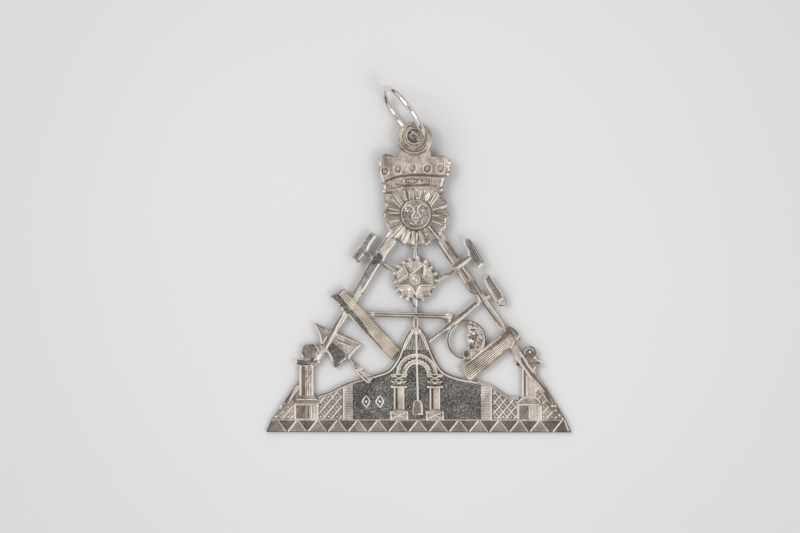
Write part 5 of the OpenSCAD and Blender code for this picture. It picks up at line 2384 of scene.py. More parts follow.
@dataclass
class Sun(Traced):
    """Sun with a face in raised lines, flames, straight rays and a scalloped rim.

    Args:
        middle: its middle.
        radius: radius over the rays.
        scallop: depth of the scallops.
        rays: number of scallops.
        face: radius of the face.
        top: how far it goes up before the crown covers it.
        petals: angle, half angle and strength of each rounded flame, in degrees.
        features: lines of the face, from the middle.
        spots: raised spots of the face, from the middle.
        swells: its nose, cheeks, sockets and chin, from the middle.
        flame: outline of the one pointed flame, from the middle.
        rims: stretches of the rim that carry a painted highlight, as the two ends of each in degrees.
    """

    middle: Point = (-0.4, 42.8)
    radius: float = 6.6
    scallop: float = 0.55
    rays: int = 16
    face: float = 2.95
    top: float = 5.2
    petals: Sequence[Triple] = (
        (-132, 8, 0.8), (-114, 8, 1.0), (-96, 7, 1.2), (-77, 8, 1.1), (-58, 8, 0.5), (105, 6, 0.4),
        (86, 6, 0.4), (124, 6, 0.4))
    features: Sequence[Path] = (
        ((-2.2, 1.3), (-1.6, 1.75), (-0.9, 1.5), (-0.4, 0.9), (-0.35, 0.3), (-0.75, -0.25), (-0.7, -0.7)),
        ((0.4, 1.2), (0.9, 1.8), (1.5, 2.1), (2.1, 1.5)),
        ((0.4, 1.2), (0.35, 0.5), (0.75, -0.1), (0.95, -0.6)), ((-0.5, -0.85), (0.0, -0.7), (0.55, -0.85)),
        ((-0.45, -1.2), (0.05, -1.35), (0.5, -1.2)), ((-1.2, -1.6), (-0.6, -1.95)),
        ((1.2, -1.1), (1.25, -1.8)), ((-2.2, 0.75), (-1.3, 0.8)), ((0.85, 0.85), (1.8, 0.8)))
    spots: Path = ((-1.6, 0.55), (1.35, 0.55), (0.0, -0.3), (0.0, -1.75), (-1.9, 1.1))
    swells: Swells = (
        (0.12, (0, 0.3), (0.3, 0.9)), (0.1, (-1.4, -0.6), (0.6, 0.6)), (0.1, (1.4, -0.6), (0.6, 0.6)),
        (-0.12, (-1.3, 0.75), (0.6, 0.4)), (-0.12, (1.3, 0.75), (0.6, 0.4)), (0.1, (0, -2.0), (0.6, 0.4)))
    flame: Path = ((1.8, 2.6), (1.95, 3.6), (2.7, 4.6), (2.85, 3.8), (2.5, 3.0), (2.05, 2.5))
    rims: Path = ((160, 166), (178, 190), (197, 222), (286, 306), (314, 357))
    bright: Strokes = (
        (0.26,
         (((-4.15, 3.8), (-2.7, 1.65)), ((4.55, 3.8), (2.95, 1.6)), ((-4.7, -4.35), (-2.7, -2.15)),
          ((2.45, -2.25), (4.65, -4.9)), ((-2.35, 4.65), (-1.9, 2.8)))),
        (0.2,
         (((-4.3, -4.65), (-2.45, -2.5)), ((-3.7, 3.9), (-2.5, 2.1)), ((3.9, 4.0), (2.75, 2.1)),
          ((-0.5, 4.6), (-0.45, 2.95)), ((1.0, 4.7), (0.7, 3.0)), ((-5.4, 0.2), (-3.2, 0.25)),
          ((-5.3, -1.6), (-3.2, -1.1)), ((3.4, 0.9), (5.3, 1.5)), ((3.3, -0.2), (4.6, -0.3)),
          ((-5.2, 1.2), (-3.2, 0.7)), ((3.2, -1.3), (5.0, -2.0)), ((-1.3, 4.5), (-1.2, 3.0)),
          ((-4.6, 3.0), (-3.0, 1.4)))),
        (0.36,
         (((-4.0, -4.6), (-2.4, -3.1), (-2.1, -3.2), (-2.8, -4.9)), ((-2.3, -5.3), (-1.1, -3.5)),
          ((-0.65, -3.3), (-0.5, -4.6), (-0.3, -5.7)), ((0.1, -5.2), (0.2, -3.6)),
          ((0.65, -3.3), (1.05, -4.4), (1.5, -5.7)), ((6.1, 1.75), (5.0, 1.15)))))
    dark: Strokes = (
        (0.24,
         (((3.4, 0.5), (4.9, 0.2), (6.1, -0.6)), ((-5.4, -0.1), (-3.4, -0.1)), ((-1.7, -3.4), (-2.6, -5.2)),
          ((-0.1, -3.4), (-0.1, -5.7)), ((-4.5, -4.5), (-2.6, -2.4)), ((2.9, -2.3), (4.9, -4.6)),
          ((-5.9, 0.8), (-5.2, 0.7)))),
        (0.16,
         (((0.05, 1.5), (0.15, 0.4)), ((1.4, 1.9), (0.75, 1.3), (0.65, 0.7)), ((-0.45, -1.02), (0.5, -1.02)),
          ((-1.9, 0.4), (-1.1, 0.45)), ((1.0, 0.5), (1.8, 0.5)), ((-1.15, -0.2), (-1.0, -0.9)),
          ((-1.9, 1.45), (-1.4, 1.5), (-0.8, 1.1)), ((-0.9, -2.2), (0.8, -2.2)), ((1.3, -0.3), (1.0, -1.2)),
          ((2.0, -3.4), (2.6, -5.0)), ((-3.3, 3.5), (-2.3, 2.4)), ((3.4, 3.6), (2.7, 2.7)),
          ((-5.0, -2.6), (-3.2, -1.8)), ((0.3, 4.5), (0.25, 3.2)), ((-1.8, 4.4), (-1.5, 3.1)),
          ((1.6, 4.4), (1.3, 3.0)), ((-5.4, 2.4), (-3.4, 1.2)), ((5.6, -1.2), (3.6, -0.9)))))
    dots: Dots = ((0.26, ((2.1, -3.9), (0.3, 3.2), (0.1, 4.9))),)
    level: float = FACE + 0.12

    def outline(self, angle: np.ndarray) -> np.ndarray:
        """Radius of the scalloped rim at an angle.

        Args:
            angle: directions from the middle, in radians.

        Returns:
            The radii, in millimetres.
        """
        wave = np.abs(np.sin((angle + math.pi / 2) * self.rays / 2))
        rim = self.radius - self.scallop * wave
        return np.minimum(rim, self.top / np.maximum(np.sin(angle), 0.2))

    def flames(self, radius: np.ndarray, angle: np.ndarray) -> np.ndarray:
        """Relief round the face: fine radial cuts and the rounded flames.

        Args:
            radius: distances from the middle, in millimetres.
            angle: directions from the middle, in radians.

        Returns:
            The heights, in millimetres.
        """
        share = np.clip((radius - self.face - 0.2) / (self.radius - self.face - 0.4), 0, 1)
        ground = 0.07 * np.sin(angle * 60 + 1.2 * np.sin(2.4 * radius) + 1.5 * np.sin(3 * angle))
        ground += 0.05 * np.sin(angle * 23 + 2.0) * share
        for centre, half, strength in self.petals:
            off = np.abs((np.degrees(angle) - centre + 180) % 360 - 180) / half
            width = 0.35 + 0.65 * np.sin(math.pi * np.clip(share * 0.85 + 0.1, 0, 1))
            petal = np.clip(1 - off / width, 0, 1)
            ground = np.where(petal > 0, 0.24 * strength * np.sqrt(petal), ground)
        return ground

    def looks(self, u: np.ndarray, v: np.ndarray) -> np.ndarray:
        """Relief of the face under its lines: brows, nose, cheeks, mouth and chin, all low.

        Args:
            u: places across from the middle, in millimetres.
            v: places up from the middle, in millimetres.

        Returns:
            The heights, in millimetres.
        """
        dome = 0.1 * np.sqrt(np.clip(1 - (u * u + v * v) / self.face**2, 0, 1))
        grain = 0.025 * np.sin(7 * u + 3 * np.sin(4 * v)) * np.sin(8 * v + 2 * np.sin(5 * u))
        return dome + swollen(u, v, self.swells) + grain

    def relief(self, x: np.ndarray, y: np.ndarray, radius: np.ndarray, angle: np.ndarray) -> np.ndarray:
        """Relief of the whole sun.

        Args:
            x: places across, in millimetres.
            y: places up, in millimetres.
            radius: distances from the middle, in millimetres.
            angle: directions from the middle, in radians.

        Returns:
            The heights, in millimetres.
        """
        inner = radius < self.face
        rim = 0.2 * np.clip(1 - np.abs(radius - self.face) / 0.22, 0, 1)
        rim = rim - 0.03 * ridge(radius - self.face - 0.36, 0.3)
        ground = np.where(inner, self.looks(x, y), self.flames(radius, angle))
        edge = 0.1 * np.clip(1 - np.abs(self.outline(angle) - radius - 0.2) / 0.18, 0, 1)
        return FACE - 0.02 + ground + rim + edge

    def build(self, bench: Bench) -> None:
        """Builds the sun.

        Args:
            bench: where its piece is made.
        """
        mx, my = self.middle
        disc = medal(self.middle, self.outline, self.relief, count=(120, 640), edge=0.1)
        face = [flow(moved(line, self.middle), steps=3) for line in self.features]
        spots = moved(self.spots, self.middle)
        look = medal(
            self.middle, lambda a: self.face - 0.24 + 0 * a,
            lambda x, y, r, a: FACE + 0.01 + self.looks(x, y), count=(48, 160), edge=0.04)
        ring = circle(self.middle, self.face - 0.08, count=72)
        flame = moved(self.flame, self.middle)
        # Bright lines on the lit stretches of the rim: painted highlights.
        rims = []
        for start, end in self.rims:
            angles = np.radians(np.arange(start, end + 1.0, 3.0))
            reach = self.outline(angles) - 0.2
            rims.append(
                list(zip((mx + reach * np.cos(angles)).tolist(), (my + reach * np.sin(angles)).tolist())))
        bench.piece(
            "sun", (disc, SOFT), (look, PALE_STIPPLED), Lines(face, width=0.24, level=FACE + 0.14),
            Lines([closed(ring)], width=0.2, level=FACE + 0.08),
            Studs(spots, radius=0.2, level=FACE + 0.06, high=0.16),
            (slab([flame], low=0.6, high=FACE + 0.24, edge=0.1), RUBBED_AND_HIGHLIT),
            Lines(rims, width=0.3, level=FACE + 0.04), *self.traced(self.middle))


@dataclass
class Crown:
    """Crown with bowed bands, open loops, a lozenge and fine upright cuts.

    Args:
        left_edge: left outline, going up.
        right_edge: right outline, going up.
        loops: middles of the loops.
        loop: half width and half height of a loop.
        bow: points of the dark bowed line.
        foot: points of the lower rim line.
        gems: the two bright points of the lozenge.
        lobes: middle and radius of each lobe of its top.
        neck: outline of the part between the lobes and the eyelet.
        side_highlights: painted highlights along the sides.
        knobs: bright knobs at the sides, with painted highlights.
    """

    left_edge: Path = (
        (-6.7, 45.4), (-6.7, 46.7), (-6.7, 47.6), (-6.7, 48.7), (-7.05, 49.4), (-7.6, 51.0), (-7.75, 52.8),
        (-7.6, 53.6), (-7.0, 54.4))
    right_edge: Path = (
        (4.7, 45.4), (4.6, 46.4), (5.0, 47.2), (4.7, 48.2), (5.3, 49.8), (6.1, 50.3), (6.4, 51.4),
        (6.55, 52.5), (6.25, 53.4), (5.3, 54.2))
    loops: Path = ((-6.5, 51.3), (-3.9, 51.7), (-1.1, 51.9), (1.9, 51.8), (4.45, 51.8))
    loop: Point = (0.95, 1.1)
    bow: Path = ((-7.1, 48.9), (-5.6, 49.6), (-3.9, 50.2), (-1.2, 50.5), (1.4, 50.5), (4.0, 50.3))
    foot: Path = ((-6.8, 47.4), (-5.2, 47.5), (-3.6, 47.9), (-0.9, 48.1), (2.4, 47.9), (4.6, 47.2))
    gems: Path = ((-2.75, 49.35), (0.35, 49.3))
    lobes: Sequence[tuple[Point, float]] = (((-6.1, 53.0), 1.62), ((4.2, 52.6), 1.62), ((-0.9, 53.1), 2.5))
    neck: Path = ((-4.4, 52.5), (2.9, 52.5), (2.5, 54.9), (2.2, 56.4), (-3.6, 56.4), (-3.6, 54.9))
    side_highlights: Sequence[Path] = (
        ((-7.3, 51.2), (-7.1, 50.3), (-6.6, 49.1)), ((5.0, 49.9), (4.5, 48.3)), ((-7.4, 53.2), (-7.45, 52.3)),
        ((-6.45, 48.6), (-6.45, 47.7)))
    knobs: Path = ((-6.6, 47.3), (4.7, 47.6), (5.9, 50.6), (6.1, 51.6), (6.25, 52.9), (6.0, 52.2))

    def relief(self, x: np.ndarray, y: np.ndarray) -> np.ndarray:
        """Relief of the crown: cuts, a groove along the bow, hollow loops and the lozenge band.

        Args:
            x: places across, in millimetres.
            y: places up, in millimetres.

        Returns:
            The heights, in millimetres.
        """
        cuts = 0.055 * np.cos(x * 16.5 + 1.3 * np.sin(1.7 * y) + 0.9 * np.sin(2.9 * x))
        cuts = cuts * (0.6 + 0.4 * np.sin(3.7 * y + 1.9 * x) * np.sin(2.3 * y - 1.1 * x))
        above = y - np.interp(x, *np.array(self.bow).T)
        band = 0.08 * ridge(above - 0.45, 0.36) - 0.06 * ridge(above, 0.42) + 0.06 * ridge(above + 0.5, 0.4)
        foot = y - np.interp(x, *np.array(self.foot).T)
        band += 0.08 * ridge(foot, 0.4) - 0.07 * ridge(foot + 0.4, 0.4)
        pits = np.zeros_like(x)
        for px, py in self.loops:
            far = np.hypot((x - px) / self.loop[0], (y - py) / self.loop[1])
            pits = np.maximum(pits, ridge(far - 0.5, 0.55) * (1 - np.clip((y - py - 0.4) / 0.3, 0, 1)))
        (ax, gy), (bx, _) = self.gems
        gem = -0.07 * ridge(np.abs(x - (ax + bx) / 2) / (bx - ax) + np.abs(y - gy) / 0.8 - 0.62, 0.34)
        deep = 0.07 * ridge(y - gy + 0.95 - 0.03 * (x + 1) ** 2, 0.5) * (np.abs(x + 1) < 3.4)
        level = FACE - 0.05 * np.clip(-(foot + 0.35) / 0.1, 0, 1)
        return level + cuts * (np.abs(above) > 0.25) + band - 0.07 * pits + gem - deep

    def loop_lines(self) -> list[list[Point]]:
        """Raised lines of the loops, all but the last two open at the top.

        Returns:
            The points of each line.
        """
        lines = []
        for k, (px, py) in enumerate(self.loops):
            start, end = (135, 405) if k < len(self.loops) - 2 else (60, 420)
            lines.append(
                [(px + self.loop[0] * u, py + self.loop[1] * v)
                 for u, v in arc((0, 0), 0.92, start, end, count=20)])
        return lines

    def build(self, bench: Bench) -> None:
        """Builds the crown.

        Args:
            bench: where its piece is made.
        """
        plate = spanned(self.left_edge, self.right_edge, self.relief, count=(180, 230), edge=0.14)
        lobes = [
            medal(
                middle, lambda a, r=radius: r * (1 + 0.02 * np.cos(7 * a)),
                lambda x, y, r, a, c=middle[0]: FACE - 0.02 + 0.07 * np.cos((x + c) * 16.5) - 0.02 * r,
                count=(24, 96), edge=0.16)
            for middle, radius in self.lobes]
        neck = slab([self.neck], low=BACK, high=FACE - 0.05, edge=0.12)
        # The bright strips and knobs along the sides carry painted highlights.
        bench.piece(
            "crown", (plate, BROWN_HATCHED), *((lobe, BROWN_HATCHED) for lobe in lobes),
            (neck, BROWN_HATCHED), Lines(self.side_highlights, width=0.44, level=FACE + 0.12),
            Studs(self.knobs, radius=0.32, level=FACE, high=0.26),
            Lines(self.loop_lines(), width=0.18, level=FACE + 0.08),
            Studs(self.gems, radius=0.26, level=FACE, high=0.2),
            Lines([self.foot, beside(self.bow, by=0.42)], width=0.2, level=FACE + 0.06, finish=SATIN),
            Lines(
                [self.bow, beside(self.bow[1:], by=-1.9)], width=0.2, level=FACE + 0.05, finish=TARNISH_AND_SHADE_CUT,
                rise=0.1))


@dataclass
class Eyelet:
    """Turned eyelet whose hole flares to both faces.

    Args:
        middle: middle of the disc.
        radius: radius of the disc.
        hole: middle of the hole.
        narrow: radius of the hole in the middle of the plate's thickness.
        flare: radius of the hole at both faces.
        waves: height, number and phase of the turned waves from rim to hole.
        cuts: dark lines for the cuts round the hole, partly painted shade, as share from rim to hole and the
            two ends in degrees.
        lights: bright lines between them: painted highlights on the turned ridges.
    """

    middle: Point = (-0.6, 57.6)
    radius: float = 3.48
    hole: Point = (-0.7, 58.2)
    narrow: float = 1.08
    flare: float = 1.5
    waves: Sequence[Triple] = ((0.06, 5.3, 2.4), (0.03, 2.1, 0.0))
    cuts: Sequence[Triple] = (
        (0.88, 60, 300), (0.62, 95, 240), (0.6, 275, 400), (0.4, 200, 330), (0.14, 215, 320), (0.3, 20, 80))
    lights: Sequence[Triple] = (
        (0.76, 110, 330), (0.5, 130, 200), (0.5, 285, 350), (0.28, 230, 300), (0.08, 170, 200),
        (0.24, 300, 330))

    def turn(self, share: float, start: float, end: float) -> list[Point]:
        """Part of a circle between the rim, at share 0, and the hole, at share 1."""
        middle = tuple(a + (b - a) * share for a, b in zip(self.middle, self.hole))
        return arc(middle, self.radius + (self.flare - self.radius) * share, start, end)

    def section(self) -> list[tuple[float, float, float, float]]:
        """Circles of the eyelet from its rim over the front and through the hole to the back.

        Returns:
            Middle across, middle up, radius and height of each circle.
        """
        circles = []
        for share in np.linspace(0, 1, 65):
            radius = self.radius + (self.flare - self.radius) * share
            x = self.middle[0] + (self.hole[0] - self.middle[0]) * share
            y = self.middle[1] + (self.hole[1] - self.middle[1]) * share
            wave = sum(
                high * math.cos(share * 2 * math.pi * count + phase) for high, count, phase in self.waves)
            edge = float(rounded(np.array(min(share, 1.02 - share) * 1.9), 0.12))
            circles.append((x, y, radius, FACE + wave - edge))
        hx, hy = self.hole
        circles += [
            (hx, hy, self.narrow + 0.12, 0.68), (hx, hy, self.narrow, 0.5), (hx, hy, self.narrow + 0.12, 0.3),
            (hx, hy, self.flare, 0.0), (*self.middle, self.radius - 0.12, 0.0),
            (*self.middle, self.radius, 0.14), (*self.middle, self.radius, 0.5)]
        return circles

    def build(self, bench: Bench) -> None:
        """Builds the eyelet.

        Args:
            bench: where its piece is made.
        """
        # A dark ring inside the hole's flare: painted shade of the hole.
        hole_shade = circle(self.hole, self.flare - 0.17, count=48)
        bench.piece(
            "eyelet", (turned(self.section(), spokes=144, front=67), CLOUDED),
            Lines([closed(hole_shade)], width=0.5, level=FACE - 0.16, finish=DARK_SHADE_AND_TARNISH, rise=0.1),
            Lines(
                [self.turn(*cut) for cut in self.cuts], width=0.16, level=FACE + 0.07, finish=TARNISH_AND_SHADE_CUT,
                rise=0.12),
            Lines([self.turn(*ring) for ring in self.lights], width=0.17, level=FACE + 0.07, rise=0.4))


@dataclass
class JumpRing:
    """Jump ring of round wire that stands in the eyelet.

    Args:
        middle: its middle in the frame, in millimetres.
        radius: radius of the wire's middle line.
        wire: radius of the wire.
        lean: angle of the ring to the table, in degrees.
        turn: direction of its level diameter, in degrees.
        gap: angle between the butted ends, in radians.
        start: place of the butted ends, in radians.
    """

    middle: Triple = (-2.6925, 28.578, 6.3065)
    radius: float = 6.0
    wire: float = 0.6
    lean: float = 72.0
    turn: float = -53.0
    gap: float = 0.012
    start: float = 3.9

    def place(self, points: np.ndarray) -> np.ndarray:
        """Stands the ring in the eyelet.

        Args:
            points: points of the ring drawn flat, in metres.

        Returns:
            Their places in the frame.
        """
        lean, turn = math.radians(self.lean), math.radians(self.turn)
        long = np.array([math.cos(turn), math.sin(turn), 0])
        high = np.array([-math.sin(turn) * math.cos(lean), math.cos(turn) * math.cos(lean), math.sin(lean)])
        axis = np.cross(long, high)
        return points @ np.stack([long, high, axis]) + np.array(self.middle) * MM

    def build(self, bench: Bench) -> None:
        """Builds the ring.

        Args:
            bench: where its piece is made.
        """
        seeds = bpy.data.meshes.new("seeds")
        values = {
            "Radius": self.radius * MM, "Wire": self.wire * MM, "Gap": self.gap, "Start": self.start,
            "Finish": POLISHED.material()}
        mesh = bench.grower.grow(bench.grower.ring, seeds, values)
        mesh.vertices.foreach_set("co", self.place(points_of(mesh)).ravel())
        outward(mesh)
        bench.hand_over("jump_ring_wire", mesh, RING_NODE, "ring_silver")


@dataclass
class CrossBar(Traced):
    """Level bar with a ring-shaped knob at its right end.

    Args:
        left: its left end.
        right: its right end.
        width: its width.
        knob: radius of the knob.
        sag: place of its middle.
        strut: lower end of the strut under the knob.
    """

    left: Point = (-9.6, 23.25)
    right: Point = (6.1, 22.85)
    width: float = 0.95
    knob: float = 0.72
    sag: Point = (-1.2, 23.05)
    strut: Point = (6.3, 21.2)
    dark: Strokes = (
        (0.24, (((-8.6, 22.78), (-1.2, 22.6), (3.9, 22.45), (5.0, 22.25), (5.7, 21.6)),)),
        (0.14, (((-8.6, 23.3), (-1.0, 23.2), (4.9, 23.1)),)))
    bright: Strokes = ((0.2, (arc((6.1, 22.85), 0.58, 0, 360, count=16),)),)
    dots: Dots = ((0.22, ((-8.9, 23.2),)),)

    @staticmethod
    def lined(t: np.ndarray, s: np.ndarray) -> np.ndarray:
        """Relief of the bar: two lines with a groove between, over a deep lower edge."""
        lines = 0.1 * ridge(t - 0.55, 0.5) + 0.1 * ridge(t + 0.3, 0.5)
        return FACE - 0.02 + lines - 0.12 * ridge(t - 0.12, 0.3)

    def build(self, bench: Bench) -> None:
        """Builds the bar.

        Args:
            bench: where its piece is made.
        """
        line = [self.left, self.sag, self.right]
        body = bar(line, [self.width] * 3, self.lined, across=31)
        end = medal(
            self.right, lambda a: self.knob + 0 * a,
            lambda x, y, r, a: FACE - 0.06 + 0.14 * ridge(r - self.knob * 0.8, 0.3), count=(20, 48))
        strut = bar([self.right, self.strut], [0.7, 0.6], lambda t, s: FACE - 0.12 + column_back(t, 0.1))
        bench.piece("cross_bar", (body, YELLOWED), (end, SATIN), (strut, SATIN), *self.traced())


@dataclass
class Rods:
    """Upright rods between the sun, the star, the bar and the mound.

    Args:
        lines: middle line and widths of each stretch.
        collars: middle, length and thickness of each collar.
        cuts: dark lines along the rods: painted shade down the round rods.
        lights: bright lines along them: painted highlights on their edges.
    """

    lines: Sequence[tuple[Path, Sequence[float]]] = (
        (((-0.5, 37.6), (-0.5, 36.0), (-0.6, 34.0)), (1.0, 0.8, 1.3)),
        (((-0.6, 26.2), (-0.5, 24.6), (-0.5, 23.3)), (1.3, 0.8, 0.9)),
        (((-0.45, 23.0), (-0.45, 20.4), (-0.4, 19.2)), (1.1, 1.0, 1.2)))
    collars: Sequence[tuple[Point, float, float]] = (
        ((-0.45, 20.25), 1.7, 0.5), ((-0.5, 24.3), 1.2, 0.4), ((-0.5, 36.3), 1.3, 0.4))
    cuts: Sequence[Path] = (((-0.45, 22.3), (-0.45, 20.6)), ((-0.6, 25.3), (-0.55, 24.6)))
    lights: Sequence[Path] = (
        ((-0.8, 22.3), (-0.85, 20.6)), ((-0.05, 22.3), (-0.1, 20.6)), ((-0.2, 26.0), (-0.25, 24.6)))

    def build(self, bench: Bench) -> None:
        """Builds the rods.

        Args:
            bench: where its piece is made.
        """
        rods = [
            bar(line, widths, lambda t, s: FACE - 0.1 + column_back(t, 0.22)) for line, widths in self.lines]
        rings = [
            bar(
                [(x - long / 2, y), (x + long / 2, y)], [thick, thick],
                lambda t, s: FACE + column_back(t, 0.26))
            for (x, y), long, thick in self.collars]
        # The dark lines down the rods are painted shade and the bright ones beside them are painted
        # highlights.
        bench.piece(
            "rods", *((rod, SOFT) for rod in rods), *((ring, SATIN) for ring in rings),
            Lines(self.cuts, width=0.36, level=FACE + 0.12, finish=TARNISH_AND_SHADE_CUT, rise=0.15),
            Lines(self.lights, width=0.24, level=FACE + 0.06))


@dataclass
class Studio:
    """Pale table, soft lights and the camera straight above.

    Args:
        middle: place under the middle of the picture, in millimetres.
        distance: height of the camera above the table, in millimetres.
        lens: focal length of the camera, in millimetres.
        film: width of its film, in millimetres.
        nearest: nearest distance that it sees, in metres.
        horizon: colour of what stands low in the room.
        walls: colour of the walls.
        ceiling: colour of the ceiling.
        walls_from: sines of the elevations between which the walls start.
        walls_end: sines of the elevations between which they end.
        view: how far the camera stands to the right and up, as shares of its distance.
        paper: two colours of the table top near the jewel, and a darker colour far from it that is a painted
            fall-off of the light.
        table_half: half the side of the table top, in metres.
        light_falloff: distances from the middle between which the painted darker colour begins, in metres.
        lamps: name, azimuth, elevation, size and power of each soft light.
        lamp_colour: their colour.
    """

    middle: Point = (-3.7, -1.53)
    distance: float = 2177.0
    lens: float = 500.0
    film: float = 36.0
    nearest: float = 0.01
    horizon: Triple = (0.06, 0.055, 0.05)
    walls: Triple = (0.80, 0.782, 0.765)
    ceiling: Triple = (0.26, 0.25, 0.242)
    walls_from: Point = (0.12, 0.34)
    walls_end: Point = (0.84, 0.97)
    view: Point = (0.068, 0.008)
    paper: Sequence[Triple] = ((0.705, 0.705, 0.71), (0.74, 0.74, 0.745), (0.66, 0.66, 0.665))
    table_half: float = 0.6
    light_falloff: Point = (0.03, 0.1)
    lamps: Sequence[tuple[str, float, float, float, float]] = (
        ("left_lamp", 150, 60, 0.5, 2.3), ("right_lamp", -34, 58, 0.46, 1.85))
    lamp_colour: Triple = (0.975, 0.99, 1.0)

    def table(self) -> None:
        """Makes the table top."""
        form = bmesh.new()
        bmesh.ops.create_grid(form, x_segments=4, y_segments=4, size=self.table_half)
        mesh = bpy.data.meshes.new("table")
        form.to_mesh(mesh)
        form.free()
        material = bpy.data.materials.new("pale_paper")
        material.use_nodes = True
        material.node_tree.nodes.clear()
        g = Graph(material.node_tree)
        where = g.add("ShaderNodeTexCoord").outputs["Object"]
        fibre = g.noise(where, scale=1800.0, detail=4.0)
        cloud = g.noise(where, scale=18.0)
        near, pale, outer = ((*tone, 1) for tone in self.paper)
        far = g.add("ShaderNodeVectorMath", {0: where}, operation="LENGTH").outputs["Value"]
        # Away from the jewel the paper is painted darker: a painted fall-off of the light.
        colour = g.mix(g.ramp(far, *self.light_falloff), g.mix(cloud, near, pale), outer)
        normal = g.bump(fibre, strength=0.12, distance=0.02 * MM)
        shader = g.add("ShaderNodeBsdfPrincipled", {"Base Color": colour, "Roughness": 0.8, "Normal": normal})
        g.add("ShaderNodeOutputMaterial", {"Surface": shader.outputs[0]})
        mesh.materials.append(material)
        placed("table", mesh)

    def light(
            self, name: str, azimuth: float, elevation: float, size: float, power: float,
            away: float = 0.9) -> None:
        """Adds a soft light that points at the jewel.

        Args:
            name: its name.
            azimuth: its direction, in degrees anticlockwise from the right.
            elevation: its height above the table, in degrees.
            size: its side, in metres.
            power: its power, in watts.
            away: its distance, in metres.
        """
        lamp = bpy.data.lights.new(name, "AREA")
        lamp.shape = "DISK"
        lamp.size, lamp.energy, lamp.color = size, power, self.lamp_colour
        holder = placed(name, lamp)
        a, e = math.radians(azimuth), math.radians(elevation)
        holder.location = (
            away * math.cos(a) * math.cos(e), away * math.sin(a) * math.cos(e), away * math.sin(e))
        holder.rotation_euler = (math.pi / 2 - e, 0, a + math.pi / 2)

    def room(self) -> None:
        """Makes the room round the table: pale walls between a dark horizon and a dim ceiling."""
        world = bpy.data.worlds.new("room")
        world.use_nodes = True
        world.node_tree.nodes.clear()
        g = Graph(world.node_tree)
        way = g.add("ShaderNodeTexCoord").outputs["Generated"]
        up = g.add("ShaderNodeSeparateXYZ", {0: way}).outputs[2]
        colour = (*self.horizon, 1)
        for (start, end), beyond in ((self.walls_from, self.walls), (self.walls_end, self.ceiling)):
            colour = g.mix(g.ramp(up, start, end), colour, (*beyond, 1))
        sky = g.add("ShaderNodeBackground", {"Color": colour, "Strength": 1.0})
        g.add("ShaderNodeOutputWorld", {"Surface": sky.outputs[0]})
        bpy.context.scene.world = world

    def build(self) -> None:
        """Sets the table, the lights and the camera."""
        self.table()
        for lamp in self.lamps:
            self.light(*lamp)
        self.room()
        bpy.context.scene.view_settings.view_transform = "Standard"
        view = bpy.data.cameras.new("camera")
        view.lens, view.sensor_width, view.clip_start = self.lens, self.film, self.nearest
        camera = placed("camera", view)
        right, up = self.view
        camera.location = (
            (self.middle[0] + right * self.distance) * MM, (self.middle[1] + up * self.distance) * MM,
            self.distance * MM)
        camera.rotation_euler = (-math.atan(up), math.atan(right), 0)
        bpy.context.scene.camera = camera


